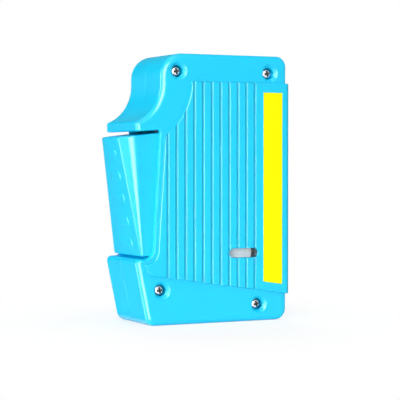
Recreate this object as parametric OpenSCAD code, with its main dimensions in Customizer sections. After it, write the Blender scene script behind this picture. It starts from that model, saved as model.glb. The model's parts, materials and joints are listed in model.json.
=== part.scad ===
// Fibre optic cleaning cassette, held in one hand.
// A moulded case in two halves carries a supply reel and a take-up reel of cleaning tape.
// Pressing the thumb lever on the left turns a drive gear. The gear slides the shutter up
// from the cleaning opening in the right side, and its pawl pulls fresh tape over the pad.
// The origin is the middle of the foot, +Z is up, the labelled front looks along -Y and
// the thumb lever is on the -X side.

/* [Case] */
// Height of the case
case_h = 115; // [114:0.5:120]
// Depth of the case over its flat faces
case_d = 34; // [33.5:0.5:38]
// Reach of the thumb lever from the right side of the case
lever_out = 77; // [76.5:0.5:79]
// Width of the case at its foot
foot_w = 66.6; // [66:0.1:67.5]
// Width of the upper lobe
lobe_w = 60.4; // [60:0.1:61.5]
// Thickness of the case walls
wall = 2; // [1.8:0.1:2.2]
// Height of the raised panel over the case
panel_step = 1; // [0.8:0.1:1.2]
// Round along the outer edges of the front and the back
edge_r = 2.5; // [2:0.1:2.8]
// Round of the top left corner of the lobe
lobe_r = 10; // [8:0.5:12]
// Round of the top right corner
top_r = 4.5; // [3.5:0.5:6]
// Round of the bottom right corner
foot_r = 5; // [4:0.5:6]
// Radius of the hollow under the lobe
hollow_r = 17.2; // [15:0.1:17.4]

/* [Ribs, label and window] */
// Number of grooves in the raised panel
groove_count = 11; // [5:1:11]
// Distance from one groove to the next
groove_pitch = 4.16; // [4:0.02:4.2]
// Width of a groove at the face
groove_w = 1.1; // [0.8:0.1:1.3]
// Width of the label
label_w = 9.3; // [8:0.1:10]
// Length of the window slot
window_w = 13.7; // [12:0.1:14]
// Height of the window slot
window_h = 4.05; // [3.6:0.05:4.4]

/* [Thumb lever] */
// Full press of the lever in degrees
lever_press = 8; // [8:1:8]
// Gap between the lever's top edge and the hook above it
lever_gap = 2.2; // [2:0.1:2.6]
// Wall of the hollow lever
lever_wall = 2; // [1.6:0.1:2.2]
// Number of raised grip pads
pad_count = 5; // [3:1:5]

/* [Drive] */
// Module of the gear teeth
gear_module = 1; // [1:1:1]
// Teeth of the pinion on the take-up axle
pinion_teeth = 24; // [24:1:24]
// Teeth in the full circle of the lever's sector
sector_teeth = 90; // [90:1:90]
// Teeth in the full circle of the shutter's sector
lift_teeth = 58; // [58:1:58]
// Thickness of the gears
gear_t = 2; // [1.6:0.1:2.1]
// Radius of the ratchet over its teeth
ratchet_r = 7.5; // [7.3:0.1:7.7]
// Number of ratchet teeth
ratchet_teeth = 12; // [12:1:12]

/* [Reels and tape] */
// Radius of the supply reel's flanges
supply_r = 21; // [20:0.1:21.2]
// Radius of the tape left on the supply reel
supply_roll_r = 19.5; // [12:0.1:19.6]
// Radius of the take-up reel's flanges
takeup_r = 18; // [16:0.1:18.4]
// Radius of the tape wound on the take-up reel
takeup_roll_r = 11.5; // [9:0.1:14]
// Width of the cleaning tape
tape_w = 14; // [12:0.2:14.2]
// Thickness of the cleaning tape
tape_t = 0.2; // [0.15:0.01:0.25]
// Radius of the reel axles
axle_r = 2; // [1.5:0.1:2.2]
// Radius of the guide rollers
roller_r = 3; // [2.8:0.1:3]

/* [Cleaning opening] */
// Height of the opening in the right side
mouth_h = 14; // [13:0.1:14.4]
// Width of the opening in the right side
mouth_w = 18; // [17:0.2:20]
// Width of one cleaning slot
slot_w = 5; // [4.4:0.1:5.4]
// Height of one cleaning slot
slot_h = 12; // [10:0.1:12.2]

/* [Hidden] */
$fn = 48;

// Gaps between pieces
run_gap = 0.05;
seat_gap = 0.02;
face_gap = 0.25;
soft_gap = 0.3;
// Overrun of every cut past the face that it opens
over = 0.5;
// Smallest round that an outline keeps
least_r = 0.15;
// Turn of one step along a round
arc_step = 12;

// Outer faces of the case
overall_w = lever_out + panel_step;
right_x = overall_w / 2 - panel_step;
tip_x = right_x - lever_out;
front_y = -case_d / 2;
panel_y = front_y - panel_step;
inner_y = case_d / 2 - wall;

// Corners of the case outline
foot_left = right_x - foot_w;
lobe_left = right_x - lobe_w;
base_h = 28.3;
base_reach = 5.87;
base_left = foot_left - base_reach;
notch_top = case_h - 33;
hook_drop = 0.3;
hook_rise = 0.4;
notch_x = right_x - 61.1;
notch_foot_x = right_x - 64.4;
hook_reach = 11.2;
hook_x = lobe_left - hook_reach;
hook_h = 3.9;
hollow_rise = 4.5;
base_top_r = 2.2;
foot_left_r = 4;
notch_r = 4.5;
hook_top_r = 1.3;
hook_foot_r = 1;
notch_top_r = 0.3;
case_corners = [
    [foot_left, 0], [right_x, 0], [right_x, case_h], [lobe_left, case_h],
    [lobe_left, notch_top + hook_h + hollow_rise], [hook_x, notch_top + hook_h],
    [hook_x, notch_top - hook_drop], [notch_x, notch_top + hook_rise], [notch_foot_x, base_h],
    [base_left, base_h]
];
case_rounds = [foot_left_r, foot_r, top_r, lobe_r, hollow_r, hook_top_r, hook_foot_r, notch_top_r,
    notch_r, base_top_r];
top_right_corner = 2;
notch_foot_corner = 8;
// How far each edge of the case outline draws in over the round, and inside the wall
round_share = [1, 1, 1, 1, 1, 0.3, 0.2, 0.2, 0.4, 1];
cavity_share = [1, 1, 1, 1, 1, 0.5, 0.75, -0.8, 1, 1];

// Raised panel
panel_top = case_h - 11.8;
panel_left_foot = right_x - 66.5;
panel_foot_h = 21.4;
panel_slope = 0.1516;
panel_bank_h = 26.1;
panel_bank_x = right_x - 68.9;
panel_edge_foot_x = right_x - 62.9;
panel_edge_top_x = right_x - 59.1;
panel_edge_top_z = notch_top - 1.1;
panel_bend_r = 5.5;
panel_bow_r = 28.8;
panel_bow_c = [right_x - 75.4, case_h - 11];
groove_last_x = right_x - 16.9;

// Label and window
label_right = right_x - 3.1;
label_top = panel_top - 4.2;
label_foot = 15.8;
label_t = 0.2;
window_x = right_x - 22;
window_z = 29.85;
window_lip = 1.7;
window_t = 1;
window_sink = 0.4;

// Case screws, each as [distance from the right side, height above the foot or drop from the top]
screw_top_drop = 7.6;
screw_places = [[right_x - 52.6, case_h - screw_top_drop], [right_x - 8.8, case_h - screw_top_drop],
    [right_x - 60.5, 14.9], [right_x - 14.1, 7.3]];
screw_boss_r = 4.5;
screw_rim_r = 3.75;
screw_rim_depth = 1.5;
screw_well_r = 2.5;
screw_seat_y = front_y + 3.6;
screw_head_r = 2.1;
screw_head_t = 1.3;
screw_r = 1.15;
screw_clear_r = 1.35;
screw_len = 22;
cross_w = 0.6;
cross_len = 2.4;
cross_depth = 0.8;

// Lever pivot and lever form
pivot = [right_x - 62, 33];
pin_r = 1.5;
pin_sink = 0.9;
lever_half = inner_y - face_gap;
lever_inner_x = right_x - 60;
lever_foot = base_h + 1;
lever_top = notch_top - hook_drop - lever_gap;
lever_top_slope = 0.115;
lever_edge_top_x = tip_x + 3.35;
lever_edge_foot_x = tip_x + 8.5;
lever_face_foot_x = tip_x + 8.1;
lever_corner_top = 5.75;
lever_corner_foot = 0.75;
lever_hub_r = 3.5;
lever_foot_open = 3.5;
pad_first_z = lever_top - 7;
pad_pitch = 9.5;
pad_h = 4;
pad_w_top = 10;
pad_w_foot = 17;
pad_rise = 0.6;
peg_r = 1.5;
peg_reach = 9;
peg_angle = 100;

// Layers of the mechanism from the front wall inward
gear_front = -(lever_half - lever_wall);
gear_back = gear_front + gear_t;
reel_half = 8.4;
flange_t = 1;
ratchet_t = 2;
pawl_t = 1.8;
pawl_front = -reel_half - ratchet_t;
// White disc of the supply reel, between the window and the lever's arm
sight_r = 19;
sight_t = 0.6;
sight_back = gear_front - soft_gap;
sight_front = sight_back - sight_t;

// Gear sizes from the module
pinion_r = gear_module * pinion_teeth / 2;
sector_r = gear_module * sector_teeth / 2;
lift_r = gear_module * lift_teeth / 2;
pressure_angle = 20;
root_depth = 1.25 * gear_module;
backlash = 0.16;
flank_steps = 4;
sector_step = 5;
web_before = 8;
web_after = 18;
lift_spare_before = 0.45;
lift_spare_after = 1.5;
gear_ratio = sector_r / pinion_r;
lift_turn = lever_press * gear_ratio;
shutter_travel = lift_r * lift_turn * PI / 180;

// Shutter and the wall that it slides behind
shutter_t = 1.5;
shutter_out_x = right_x - wall - soft_gap;
shutter_in_x = shutter_out_x - shutter_t;
rack_pitch_x = shutter_in_x - root_depth + seat_gap * 2.5;
mouth_foot = 44;
mouth_round = 2;
shutter_lap = 1;
shutter_foot = mouth_foot - shutter_lap;
shutter_h = 46;
shutter_half = 14.2;
rail_t = 1.5;
rail_w = 1.9;
rail_foot = 60.5;
rail_top = case_h - 7;

// Take-up axle, placed so that both its gears are in mesh
takeup_x = rack_pitch_x - lift_r;
takeup = [takeup_x, pivot[1] + sqrt(pow(sector_r + pinion_r, 2) - pow(takeup_x - pivot[0], 2))];
mesh_angle = atan2(takeup[1] - pivot[1], takeup[0] - pivot[0]);
supply = [right_x - 35.2, 30];
axle_boss_r = 4.5;
axle_sink = 0.9;
reel_hub_r = 8;
reel_hole_r = 3;
reel_hole_count = 5;

// Ratchet and pawls, with angles about the take-up axle
ratchet_depth = 1.3;
ratchet_root_r = ratchet_r - ratchet_depth;
ratchet_pitch = 360 / ratchet_teeth;
pawl_tip_angle = 95;
pawl_tip_half = 3;
pawl_tip_back = 1;
pawl_face_gap = 6.4;
ratchet_phase = pawl_tip_angle + pawl_tip_half + pawl_face_gap;
drive_tip_angle = pawl_tip_angle + 4 * ratchet_pitch;
drive_pawl_span = 45;
drive_pawl_angle = drive_tip_angle - drive_pawl_span;
drive_pawl_r = 9.6;
drive_pin_r = 0.8;
drive_hub_r = 1.8;
drive_arm_gap = 0.9;
drive_arm_w = 1.8;
drive_arm_in_r = ratchet_r + drive_arm_gap;
drive_arm_out_r = drive_arm_in_r + drive_arm_w;
drive_lift = 0.12;
drive_leaf_start = 16;
hold_pawl_r = 16;
hold_pawl_span = 33;
hold_pawl_angle = pawl_tip_angle - hold_pawl_span;
hold_pin_r = 0.8;
hold_hub_r = 1.9;
hold_boss_r = 2.3;
hold_arm_w = 2;
hold_tip_gap = 0.55;
hold_tip_r = ratchet_root_r + hold_tip_gap;
hold_throat = 0.9;
// Degrees that the pawl is lifted out of the ratchet, and what it may lift beyond that
hold_lift = 6.5;
hold_spare = 1;
hold_leaf_tail = 5;
hold_leaf_len = 13;
leaf_t = 0.3;
leaf_w = 1.4;
leaf_post_r = 1.2;

// Guide rollers and the cleaning head
head_x = shutter_in_x - soft_gap;
slot_plate_t = 4.9;
slot_plate_in = head_x - slot_plate_t;
slot_plate_below = 6;
slot_plate_above = 2;
slot_plate_foot = mouth_foot - slot_plate_below;
slot_plate_top = mouth_foot + mouth_h + slot_plate_above;
slot_plate_half = inner_y - 0.1;
slot_gap = 3.4;
tape_gap = 0.1;
tape_out_x = slot_plate_in - face_gap;
roller_x = tape_out_x - tape_t - tape_gap - roller_r;
roller_below = 4.5;
roller_above = 17.5;
lower_z = mouth_foot - roller_below;
upper_z = mouth_foot + roller_above;
roller_half = 7.5;
roller_pin_r = 1;
roller_boss_r = 2.5;
platen_h = 13;
platen_foot = mouth_foot;
platen_top = mouth_foot + platen_h;
pad_t = 1.8;
pad_side_gap = 1;
pad_out_x = tape_out_x - tape_t - soft_gap;
platen_t = 5.8;
platen_half = 9;
platen_peg_r = 1.5;
platen_peg_len = 4;
ledge_t = 1.5;
ledge_w = 5;

// Supply brake
brake_left = 14.8;
brake_drop = 16;
brake_x = supply[0] - brake_left;
brake_z = supply[1] - brake_drop;
brake_len = 19;
brake_leaf_w = 5;
felt_t = 1;
felt_len = 7;
brake_post_r = 3;
brake_y = reel_half + soft_gap + felt_t;

// Return spring of the lever
coil_wire = 0.8;
coil_mean_r = 2.6;
coil_turns = 5;
coil_pitch = 1.1;
coil_sides = 6;
coil_steps = 24;
coil_half = coil_turns * coil_pitch / 2;
leg_up = 13;
leg_up_angle = 116;
leg_down = 7.2;
leg_down_angle = 295;
coil_lead = 25;
rib_w = 3;
rib_h = 4;

function unit(v) = v / norm(v);
function cross2(a, b) = a[0] * b[1] - a[1] * b[0];
function left_of(v) = [-v[1], v[0]];
function polar(r, a) = [r * cos(a), r * sin(a)];
function back(list, i) = list[(i + len(list) - 1) % len(list)];
function next(list, i) = list[(i + 1) % len(list)];

// Corner i after its two edges have moved inward by depth times their shares
function moved_corner(v, shares, depth, i) =
    let (u = unit(v[i] - back(v, i)), w = unit(next(v, i) - v[i]),
         p = v[i] + left_of(u) * depth * back(shares, i),
         q = v[i] + left_of(w) * depth * shares[i])
    p + u * cross2(q - p, w) / cross2(u, w);

// Left turn at corner i in degrees, negative in a hollow corner
function turn_at(v, i) =
    let (u = unit(v[i] - back(v, i)), w = unit(next(v, i) - v[i]))
    atan2(cross2(u, w), u * w);

// Points of the round at corner i of the moved outline
function corner_arc(v, rounds, shares, depth, i) =
    let (turn = turn_at(v, i), side = sign(turn),
         share = (back(shares, i) + shares[i]) / 2,
         r = max(rounds[i] - side * depth * share, least_r),
         u = unit(v[i] - back(v, i)), b = moved_corner(v, shares, depth, i),
         start = b - u * r * tan(abs(turn) / 2),
         centre = start + left_of(u) * side * r,
         first = atan2(start[1] - centre[1], start[0] - centre[0]),
         steps = max(ceil(abs(turn) / arc_step), 2))
    [for (k = [0:steps]) centre + polar(r, first + turn * k / steps)];

function outline(v, rounds, shares, depth) =
    [for (i = [0:len(v) - 1]) each corner_arc(v, rounds, shares, depth, i)];

function case_outline(shares, depth) = outline(case_corners, case_rounds, shares, depth);

// A flat shape in X and Z, drawn out along Y
module along_y(y0, y1) {
    translate([0, y1, 0])
        rotate([90, 0, 0])
            linear_extrude(y1 - y0) children();
}

module rod_y(place, r, y0, y1) {
    along_y(y0, y1)
        translate(place) circle(r = r);
}

function ring_at(shares, depth, y) = [for (p = case_outline(shares, depth)) [p[0], y, p[1]]];

// Index of the first point of corner i in the case outline
function corner_start(i) = i == 0 ? 0 : corner_start(i - 1)
    + max(ceil(abs(turn_at(case_corners, i - 1)) / arc_step), 2) + 1;

// Half of the case as a solid with a rounded front edge, which overruns the parting plane.
// Its flat ends are split in two from the notch to the right side, so that each is a simple fan.
module half_form(shares) {
    steps = 4;
    rings = concat([ring_at(shares, 0, 2 * over)],
        [for (k = [0:steps]) let (a = 90 * k / steps)
            ring_at(shares, edge_r * (1 - cos(a)), front_y + edge_r * (1 - sin(a)))]);
    n = len(rings[0]);
    m = len(rings);
    right_foot = corner_start(top_right_corner) - 1;
    notch_end = corner_start(notch_foot_corner) - 1;
    upper = [for (i = [right_foot + 1:notch_end]) i];
    lower = concat([right_foot, right_foot + 1], [for (i = [notch_end:n - 1]) i],
        [for (i = [0:right_foot - 1]) i]);
    polyhedron(
        points = [for (ring = rings) each ring],
        faces = concat(
            [for (end = [upper, lower]) end],
            [for (end = [upper, lower]) [for (i = [len(end):-1:1]) (m - 1) * n + end[i % len(end)]]],
            [for (k = [0:m - 2]) for (i = [0:n - 1]) let (j = (i + 1) % n)
                each [[k * n + i, (k + 1) * n + j, k * n + j],
                      [k * n + i, (k + 1) * n + i, (k + 1) * n + j]]]));
}

// The raised panel's outline, with its bowed upper left edge
function panel_outline() =
    let (foot_right = panel_foot_h - panel_slope * (right_x + panel_step - panel_left_foot),
         bow_top = acos((panel_top - panel_bow_c[1]) / panel_bow_r) - 90,
         bow_end = -acos((panel_edge_top_x - panel_bow_c[0]) / panel_bow_r),
         bow_steps = 12,
         bend = [panel_edge_foot_x, panel_bank_h],
         up = unit([panel_edge_top_x, panel_edge_top_z] - bend),
         bend_turn = 90 - atan2(up[0], up[1]),
         bend_reach = panel_bend_r * tan(bend_turn / 2),
         bend_c = bend + [-bend_reach, panel_bend_r],
         bend_steps = 8)
    concat(
        [[panel_left_foot, panel_foot_h],
         [right_x + panel_step + over, foot_right],
         [right_x + panel_step + over, panel_top]],
        [for (k = [0:bow_steps])
            panel_bow_c + polar(panel_bow_r, -bow_top + (bow_end + bow_top) * k / bow_steps)],
        [for (k = [0:bend_steps]) bend_c + polar(panel_bend_r, -bend_turn * k / bend_steps
            - 90 + bend_turn)],
        [[panel_bank_x, panel_bank_h]]);

// Section of the panel seen from above: flat in front and rounded where it wraps the right side
function panel_section() =
    let (steps = 4, reach = right_x + panel_step, c = [reach - edge_r, panel_y + edge_r])
    concat([[tip_x, over], [tip_x, panel_y]],
        [for (k = [0:steps]) c + polar(edge_r, 90 * k / steps - 90)],
        [[reach, over]]);

module panel() {
    intersection() {
        along_y(panel_y - over, -seat_gap)
            polygon(panel_outline());
        linear_extrude(case_h)
            polygon(panel_section());
    }
}

module grooves() {
    for (k = [0:groove_count - 1])
        translate([groove_last_x - k * groove_pitch, panel_y, 0])
            linear_extrude(case_h)
                rotate(45) square(groove_w / sqrt(2), center = true);
}

module window_slot(grow) {
    reach = (window_w - window_h) / 2;
    translate([window_x, window_z]) {
        for (side = [-1, 1])
            translate([side * reach, 0]) circle(r = window_h / 2 + grow);
        square([2 * reach, window_h + 2 * grow], center = true);
    }
}

function label_outline() =
    let (foot_left = label_foot + panel_slope * label_w)
    [[label_right - label_w, foot_left], [label_right, label_foot], [label_right, label_top],
     [label_right - label_w, label_top]];

// The opening in the right side that gives way to the cleaning slots
module mouth() {
    translate([right_x - wall - over, 0, mouth_foot + mouth_h / 2])
        rotate([90, 0, 90])
            linear_extrude(wall + panel_step + 2 * over)
                for (flip = [0, 1])
                    square([mouth_w - 2 * flip * mouth_round, mouth_h - 2 * (1 - flip) * mouth_round],
                        center = true);
    for (y = [-1, 1]) for (z = [mouth_round, mouth_h - mouth_round])
        translate([right_x - wall - over, y * (mouth_w / 2 - mouth_round), mouth_foot + z])
            rotate([0, 90, 0])
                cylinder(r = mouth_round, h = wall + panel_step + 2 * over);
}

// Shell of one half with the parts that both halves share, drawn as the front half
module half_shell() {
    difference() {
        union() {
            half_form(round_share);
            panel();
        }
        translate([tip_x, 0, -over])
            cube([overall_w + over, 3 * over, case_h + 2 * over]);
        along_y(-inner_y, over)
            polygon(case_outline(cavity_share, wall));
        grooves();
        mouth();
        rod_y(pivot, pin_r + seat_gap, -inner_y - pin_sink, 0);
    }
    for (place = screw_places)
        screw_boss(place);
    // Rails that keep the shutter against the right wall
    translate([shutter_in_x - soft_gap - rail_t, -inner_y - seat_gap, rail_foot])
        cube([rail_t, rail_w, rail_top - rail_foot]);
    // Ledge under the slot plate
    translate([slot_plate_in, -inner_y - seat_gap, slot_plate_foot - ledge_t])
        cube([right_x - wall - slot_plate_in + seat_gap, ledge_w, ledge_t]);
    for (z = [lower_z, upper_z])
        pin_boss([roller_x, z], roller_boss_r, roller_pin_r, roller_half + soft_gap);
}

// Boss with a blind seat for a pin, reaching in to end_y from the middle
module pin_boss(place, boss_r, hole_r, end_y) {
    difference() {
        rod_y(place, boss_r, -inner_y - seat_gap, -end_y);
        rod_y(place, hole_r + seat_gap, -inner_y - over, over - end_y);
    }
}

module screw_boss(place) {
    rod_y(place, screw_boss_r, -inner_y - seat_gap, -seat_gap);
}

module pin_seats(places, hole_r) {
    for (place = places)
        rod_y(place, hole_r + seat_gap, -inner_y - axle_sink, 0);
}

module front_shell() {
    color("deepskyblue")
    difference() {
        union() {
            half_shell();
            pin_boss(takeup, axle_boss_r, axle_r, -gear_front + soft_gap);
            pin_boss(supply, axle_boss_r, axle_r, -sight_front + soft_gap);
            pin_boss(hold_pivot, hold_boss_r, hold_pin_r, -pawl_front + soft_gap);
            leaf_posts();
        }
        pin_seats([supply, takeup], axle_r);
        pin_seats([[roller_x, lower_z], [roller_x, upper_z]], roller_pin_r);
        pin_seats([hold_pivot], hold_pin_r);
        for (place = screw_places) {
            rod_y(place, screw_clear_r, front_y, over);
            rod_y(place, screw_well_r, panel_y, screw_seat_y);
            translate([place[0], front_y, place[1]])
                rotate([-90, 0, 0])
                    cylinder(r1 = screw_rim_r, r2 = screw_well_r, h = screw_rim_depth);
        }
        along_y(panel_y - over, over - inner_y)
            window_slot(0);
        along_y(panel_y - over, panel_y + label_t)
            polygon(label_outline());
    }
}

module rear_shell() {
    color("deepskyblue")
    difference() {
        mirror([0, 1, 0])
            union() {
                half_shell();
                pin_boss(takeup, axle_boss_r, axle_r, reel_half + soft_gap);
                pin_boss(supply, axle_boss_r, axle_r, reel_half + soft_gap);
                brake_post();
                platen_pegs(0);
                spring_rib();
            }
        mirror([0, 1, 0]) {
            pin_seats([supply, takeup], axle_r);
            pin_seats([[roller_x, lower_z], [roller_x, upper_z]], roller_pin_r);
        }
        for (place = screw_places)
            rod_y(place, screw_r + seat_gap, -over, screw_seat_y + screw_len + over);
    }
}

module brake_post() {
    rod_y([brake_x + brake_post_r, brake_z], brake_post_r, -inner_y - seat_gap, -brake_y - leaf_t);
}

module platen_pegs(grow) {
    for (z = [platen_foot, platen_top])
        rod_y([pad_out_x - pad_t - platen_t / 2, (z + (platen_foot + platen_top) / 2) / 2],
            platen_peg_r + grow, -inner_y - seat_gap, platen_peg_len - inner_y + grow);
}

// Rib that the lower leg of the return spring leans on
module spring_rib() {
    end = pivot + polar(leg_down, leg_down_angle);
    translate([end[0] - rib_w / 2, -inner_y - seat_gap, end[1] - coil_wire / 2 - soft_gap - rib_h])
        cube([rib_w, inner_y + coil_half, rib_h]);
}

module case_screws() {
    color("silver")
    for (place = screw_places)
        difference() {
            union() {
                rod_y(place, screw_head_r, screw_seat_y - screw_head_t, screw_seat_y);
                rod_y(place, screw_r, screw_seat_y, screw_seat_y + screw_len);
            }
            for (turn = [0, 90])
                translate([place[0], screw_seat_y - screw_head_t, place[1]])
                    rotate([0, turn, 0])
                        cube([cross_len, 2 * cross_depth, cross_w], center = true);
        }
}

module front_label() {
    color("yellow")
    along_y(panel_y, panel_y + label_t)
        polygon(label_outline());
}

module viewing_window() {
    color("lightcyan", 0.5) {
        along_y(panel_y + window_sink, seat_gap - inner_y)
            window_slot(-seat_gap * 2);
        along_y(-inner_y, window_t - inner_y)
            window_slot(window_lip);
    }
}

// Outer face of the lever at height z
function lever_face_x(z) =
    tip_x + (lever_face_foot_x - tip_x) * (lever_top - z) / (lever_top - lever_foot);

// One level of the lever: the inner edges, the side edges and the corners of the thumb face
function lever_level(z, edge_x, face_x, corner, thick) =
    let (half = lever_half - thick, edge = edge_x + thick, face = face_x + thick,
         rise = z == lever_foot || z == lever_foot + lever_wall ? 0 : lever_top_slope)
    [for (p = [[lever_inner_x + over * sign(thick), -half], [edge, -half], [face, corner - half],
               [face, half - corner], [edge, half], [lever_inner_x + over * sign(thick), half]])
        [p[0], p[1], z + rise * (p[0] - tip_x)]];

module lever_block(z0, z1, thick) {
    points = concat(
        lever_level(z0, lever_edge_foot_x, lever_face_foot_x, lever_corner_foot, thick),
        lever_level(z1, lever_edge_top_x, tip_x, lever_corner_top, thick));
    n = 6;
    polyhedron(
        points = points,
        faces = concat([[for (i = [n - 1:-1:0]) i]], [[for (i = [0:n - 1]) n + i]],
            [for (i = [0:n - 1]) let (j = (i + 1) % n)
                each [[i, j, n + j], [i, n + j, n + i]]]));
}

module grip_pad(k) {
    z = pad_first_z - k * pad_pitch;
    w = pad_w_top + (pad_w_foot - pad_w_top) * k / (pad_count - 1);
    lean = atan2(lever_face_foot_x - tip_x, lever_top - lever_foot);
    translate([lever_face_x(z), 0, z])
        rotate([0, -90 - lean, 0])
            translate([0, 0, -pad_rise])
                linear_extrude(2 * pad_rise) {
                    for (side = [-1, 1])
                        translate([0, side * (w - pad_h) / 2]) circle(r = pad_h / 2);
                    square([pad_h, w - pad_h], center = true);
                }
}

module thumb_lever() {
    peg = pivot + polar(peg_reach, peg_angle);
    color("deepskyblue") {
        difference() {
            union() {
                lever_block(lever_foot, lever_top, 0);
                for (k = [0:pad_count - 1]) grip_pad(k);
                for (side = [-1, 1])
                    translate([0, side * (lever_half - lever_wall / 2), 0])
                        rod_y(pivot, lever_hub_r, -lever_wall / 2, lever_wall / 2);
            }
            lever_block(lever_foot + lever_wall, lever_top - lever_wall, lever_wall);
            translate([pivot[0] - lever_foot_open, gear_front, lever_foot - over])
                cube([lever_inner_x - pivot[0] + lever_foot_open + over, -2 * gear_front,
                    lever_wall + 2 * over]);
            rod_y(pivot, pin_r + run_gap, -lever_half - over, lever_half + over);
        }
        rod_y(peg, peg_r, gear_front - seat_gap, gear_back);
    }
}

module lever_pivot_pin() {
    color("silver")
    rod_y(pivot, pin_r, -inner_y - pin_sink + seat_gap, inner_y + pin_sink - seat_gap);
}

// Tube of few sides along a list of points
module wire(path, r) {
    n = len(path);
    rings = [for (i = [0:n - 1])
        let (t = unit(path[min(i + 1, n - 1)] - path[max(i - 1, 0)]),
             a = unit(cross(t, abs(t[1]) > 0.9 ? [1, 0, 0] : [0, 1, 0])),
             b = cross(t, a))
        [for (k = [0:coil_sides - 1])
            path[i] + a * r * cos(360 * k / coil_sides) + b * r * sin(360 * k / coil_sides)]];
    m = coil_sides;
    polyhedron(
        points = [for (ring = rings) each ring],
        faces = concat([[for (k = [0:m - 1]) k]], [[for (k = [m - 1:-1:0]) (n - 1) * m + k]],
            [for (i = [0:n - 2]) for (k = [0:m - 1]) let (j = (k + 1) % m)
                each [[i * m + k, (i + 1) * m + j, i * m + j],
                      [i * m + k, (i + 1) * m + k, (i + 1) * m + j]]]));
}

function coil_point(a, y) = [pivot[0] + coil_mean_r * cos(a), y, pivot[1] + coil_mean_r * sin(a)];

module lever_return_spring() {
    first = leg_up_angle - 90 + coil_lead;
    last = first + 360 * coil_turns + leg_down_angle - leg_up_angle - coil_lead;
    count = floor((last - first) * coil_steps / 360);
    up_end = pivot + polar(leg_up, leg_up_angle);
    down_end = pivot + polar(leg_down, leg_down_angle);
    turns = [for (i = [0:count])
        coil_point(first + (last - first) * i / count, -coil_half + 2 * coil_half * i / count)];
    color("silver")
    wire(concat([[up_end[0], -coil_half, up_end[1]]], turns, [[down_end[0], coil_half, down_end[1]]]),
        coil_wire / 2);
}

// Involute of the base circle, as an angle in degrees at radius r
function involute(base_r, r) = let (a = acos(min(base_r / r, 1))) tan(a) * 180 / PI - a;

// One tooth of a gear with its centre on the given angle
module tooth(teeth, angle) {
    pitch_r = gear_module * teeth / 2;
    base_r = pitch_r * cos(pressure_angle);
    root_r = pitch_r - root_depth;
    tip_r = pitch_r + gear_module;
    half = 90 / teeth - backlash / pitch_r * 90 / PI + involute(base_r, pitch_r);
    start_r = max(base_r, root_r);
    radii = [for (i = [0:flank_steps]) start_r + (tip_r - start_r) * i / flank_steps];
    flank = concat([[root_r - gear_module / 4, half]], [for (r = radii) [r, half - involute(base_r, r)]]);
    polygon(concat(
        [for (p = flank) polar(p[0], angle - p[1])],
        [for (i = [len(flank) - 1:-1:0]) polar(flank[i][0], angle + flank[i][1])]));
}

// Ring sector between two radii and two angles
function ring_sector(r0, r1, a0, a1) =
    let (steps = max(ceil((a1 - a0) / sector_step), 1))
    concat([for (k = [0:steps]) polar(r1, a0 + (a1 - a0) * k / steps)],
        r0 == 0 ? [[0, 0]] : [for (k = [steps:-1:0]) polar(r0, a0 + (a1 - a0) * k / steps)]);

sector_pitch = 360 / sector_teeth;
sector_from = mesh_angle - 2 * sector_pitch;
sector_to = mesh_angle + 4 * sector_pitch;
arm_half_w = 3;

module sector_arm() {
    root = sector_r - root_depth;
    rim = 3;
    middle = (sector_from + sector_to) / 2;
    peg = polar(peg_reach, peg_angle);
    color("ivory")
    difference() {
        along_y(gear_front, gear_back)
            translate(pivot) {
                circle(r = lever_hub_r);
                rotate(middle) translate([0, -arm_half_w]) square([root - rim / 2, 2 * arm_half_w]);
                polygon(ring_sector(root - rim, root, sector_from, sector_to));
                polygon(ring_sector(lever_hub_r / 2, peg_reach + peg_r + gear_module,
                    middle - web_before, peg_angle + web_after));
                for (k = [-2:3])
                    tooth(sector_teeth, mesh_angle + (k + 0.5) * sector_pitch);
            }
        rod_y(pivot, pin_r + run_gap, gear_front - over, gear_back + over);
        rod_y(pivot + peg, peg_r + seat_gap, gear_front - over, gear_back + over);
    }
}

lift_pitch = 360 / lift_teeth;
lift_first = -ceil(lift_turn / lift_pitch);
lift_from = (lift_first - lift_spare_before) * lift_pitch;
lift_to = lift_spare_after * lift_pitch;

module drive_gear() {
    lift_root = lift_r - root_depth;
    rim = 3;
    spoke_share = 0.5;
    pawl_pin = takeup + polar(drive_pawl_r, drive_pawl_angle);
    color("ivory") {
        difference() {
            union() {
                along_y(gear_front, gear_back)
                    translate(takeup) {
                        circle(r = pinion_r - root_depth);
                        for (k = [0:pinion_teeth - 1])
                            tooth(pinion_teeth, mesh_angle + 180 + k * 360 / pinion_teeth);
                        polygon(ring_sector(lift_root - rim, lift_root, lift_from, lift_to));
                        for (edge = [lift_from, lift_to])
                            rotate(edge + (edge < 0 ? 1 : -1) * rim * spoke_share)
                                translate([0, -rim / 2]) square([lift_root - rim / 2, rim]);
                        for (k = [lift_first:1])
                            tooth(lift_teeth, k * lift_pitch);
                    }
            }
            rod_y(takeup, axle_r + run_gap, gear_front - over, gear_back + over);
        }
        rod_y(pawl_pin, drive_pin_r, gear_back - seat_gap, pawl_front + pawl_t);
    }
}

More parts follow.
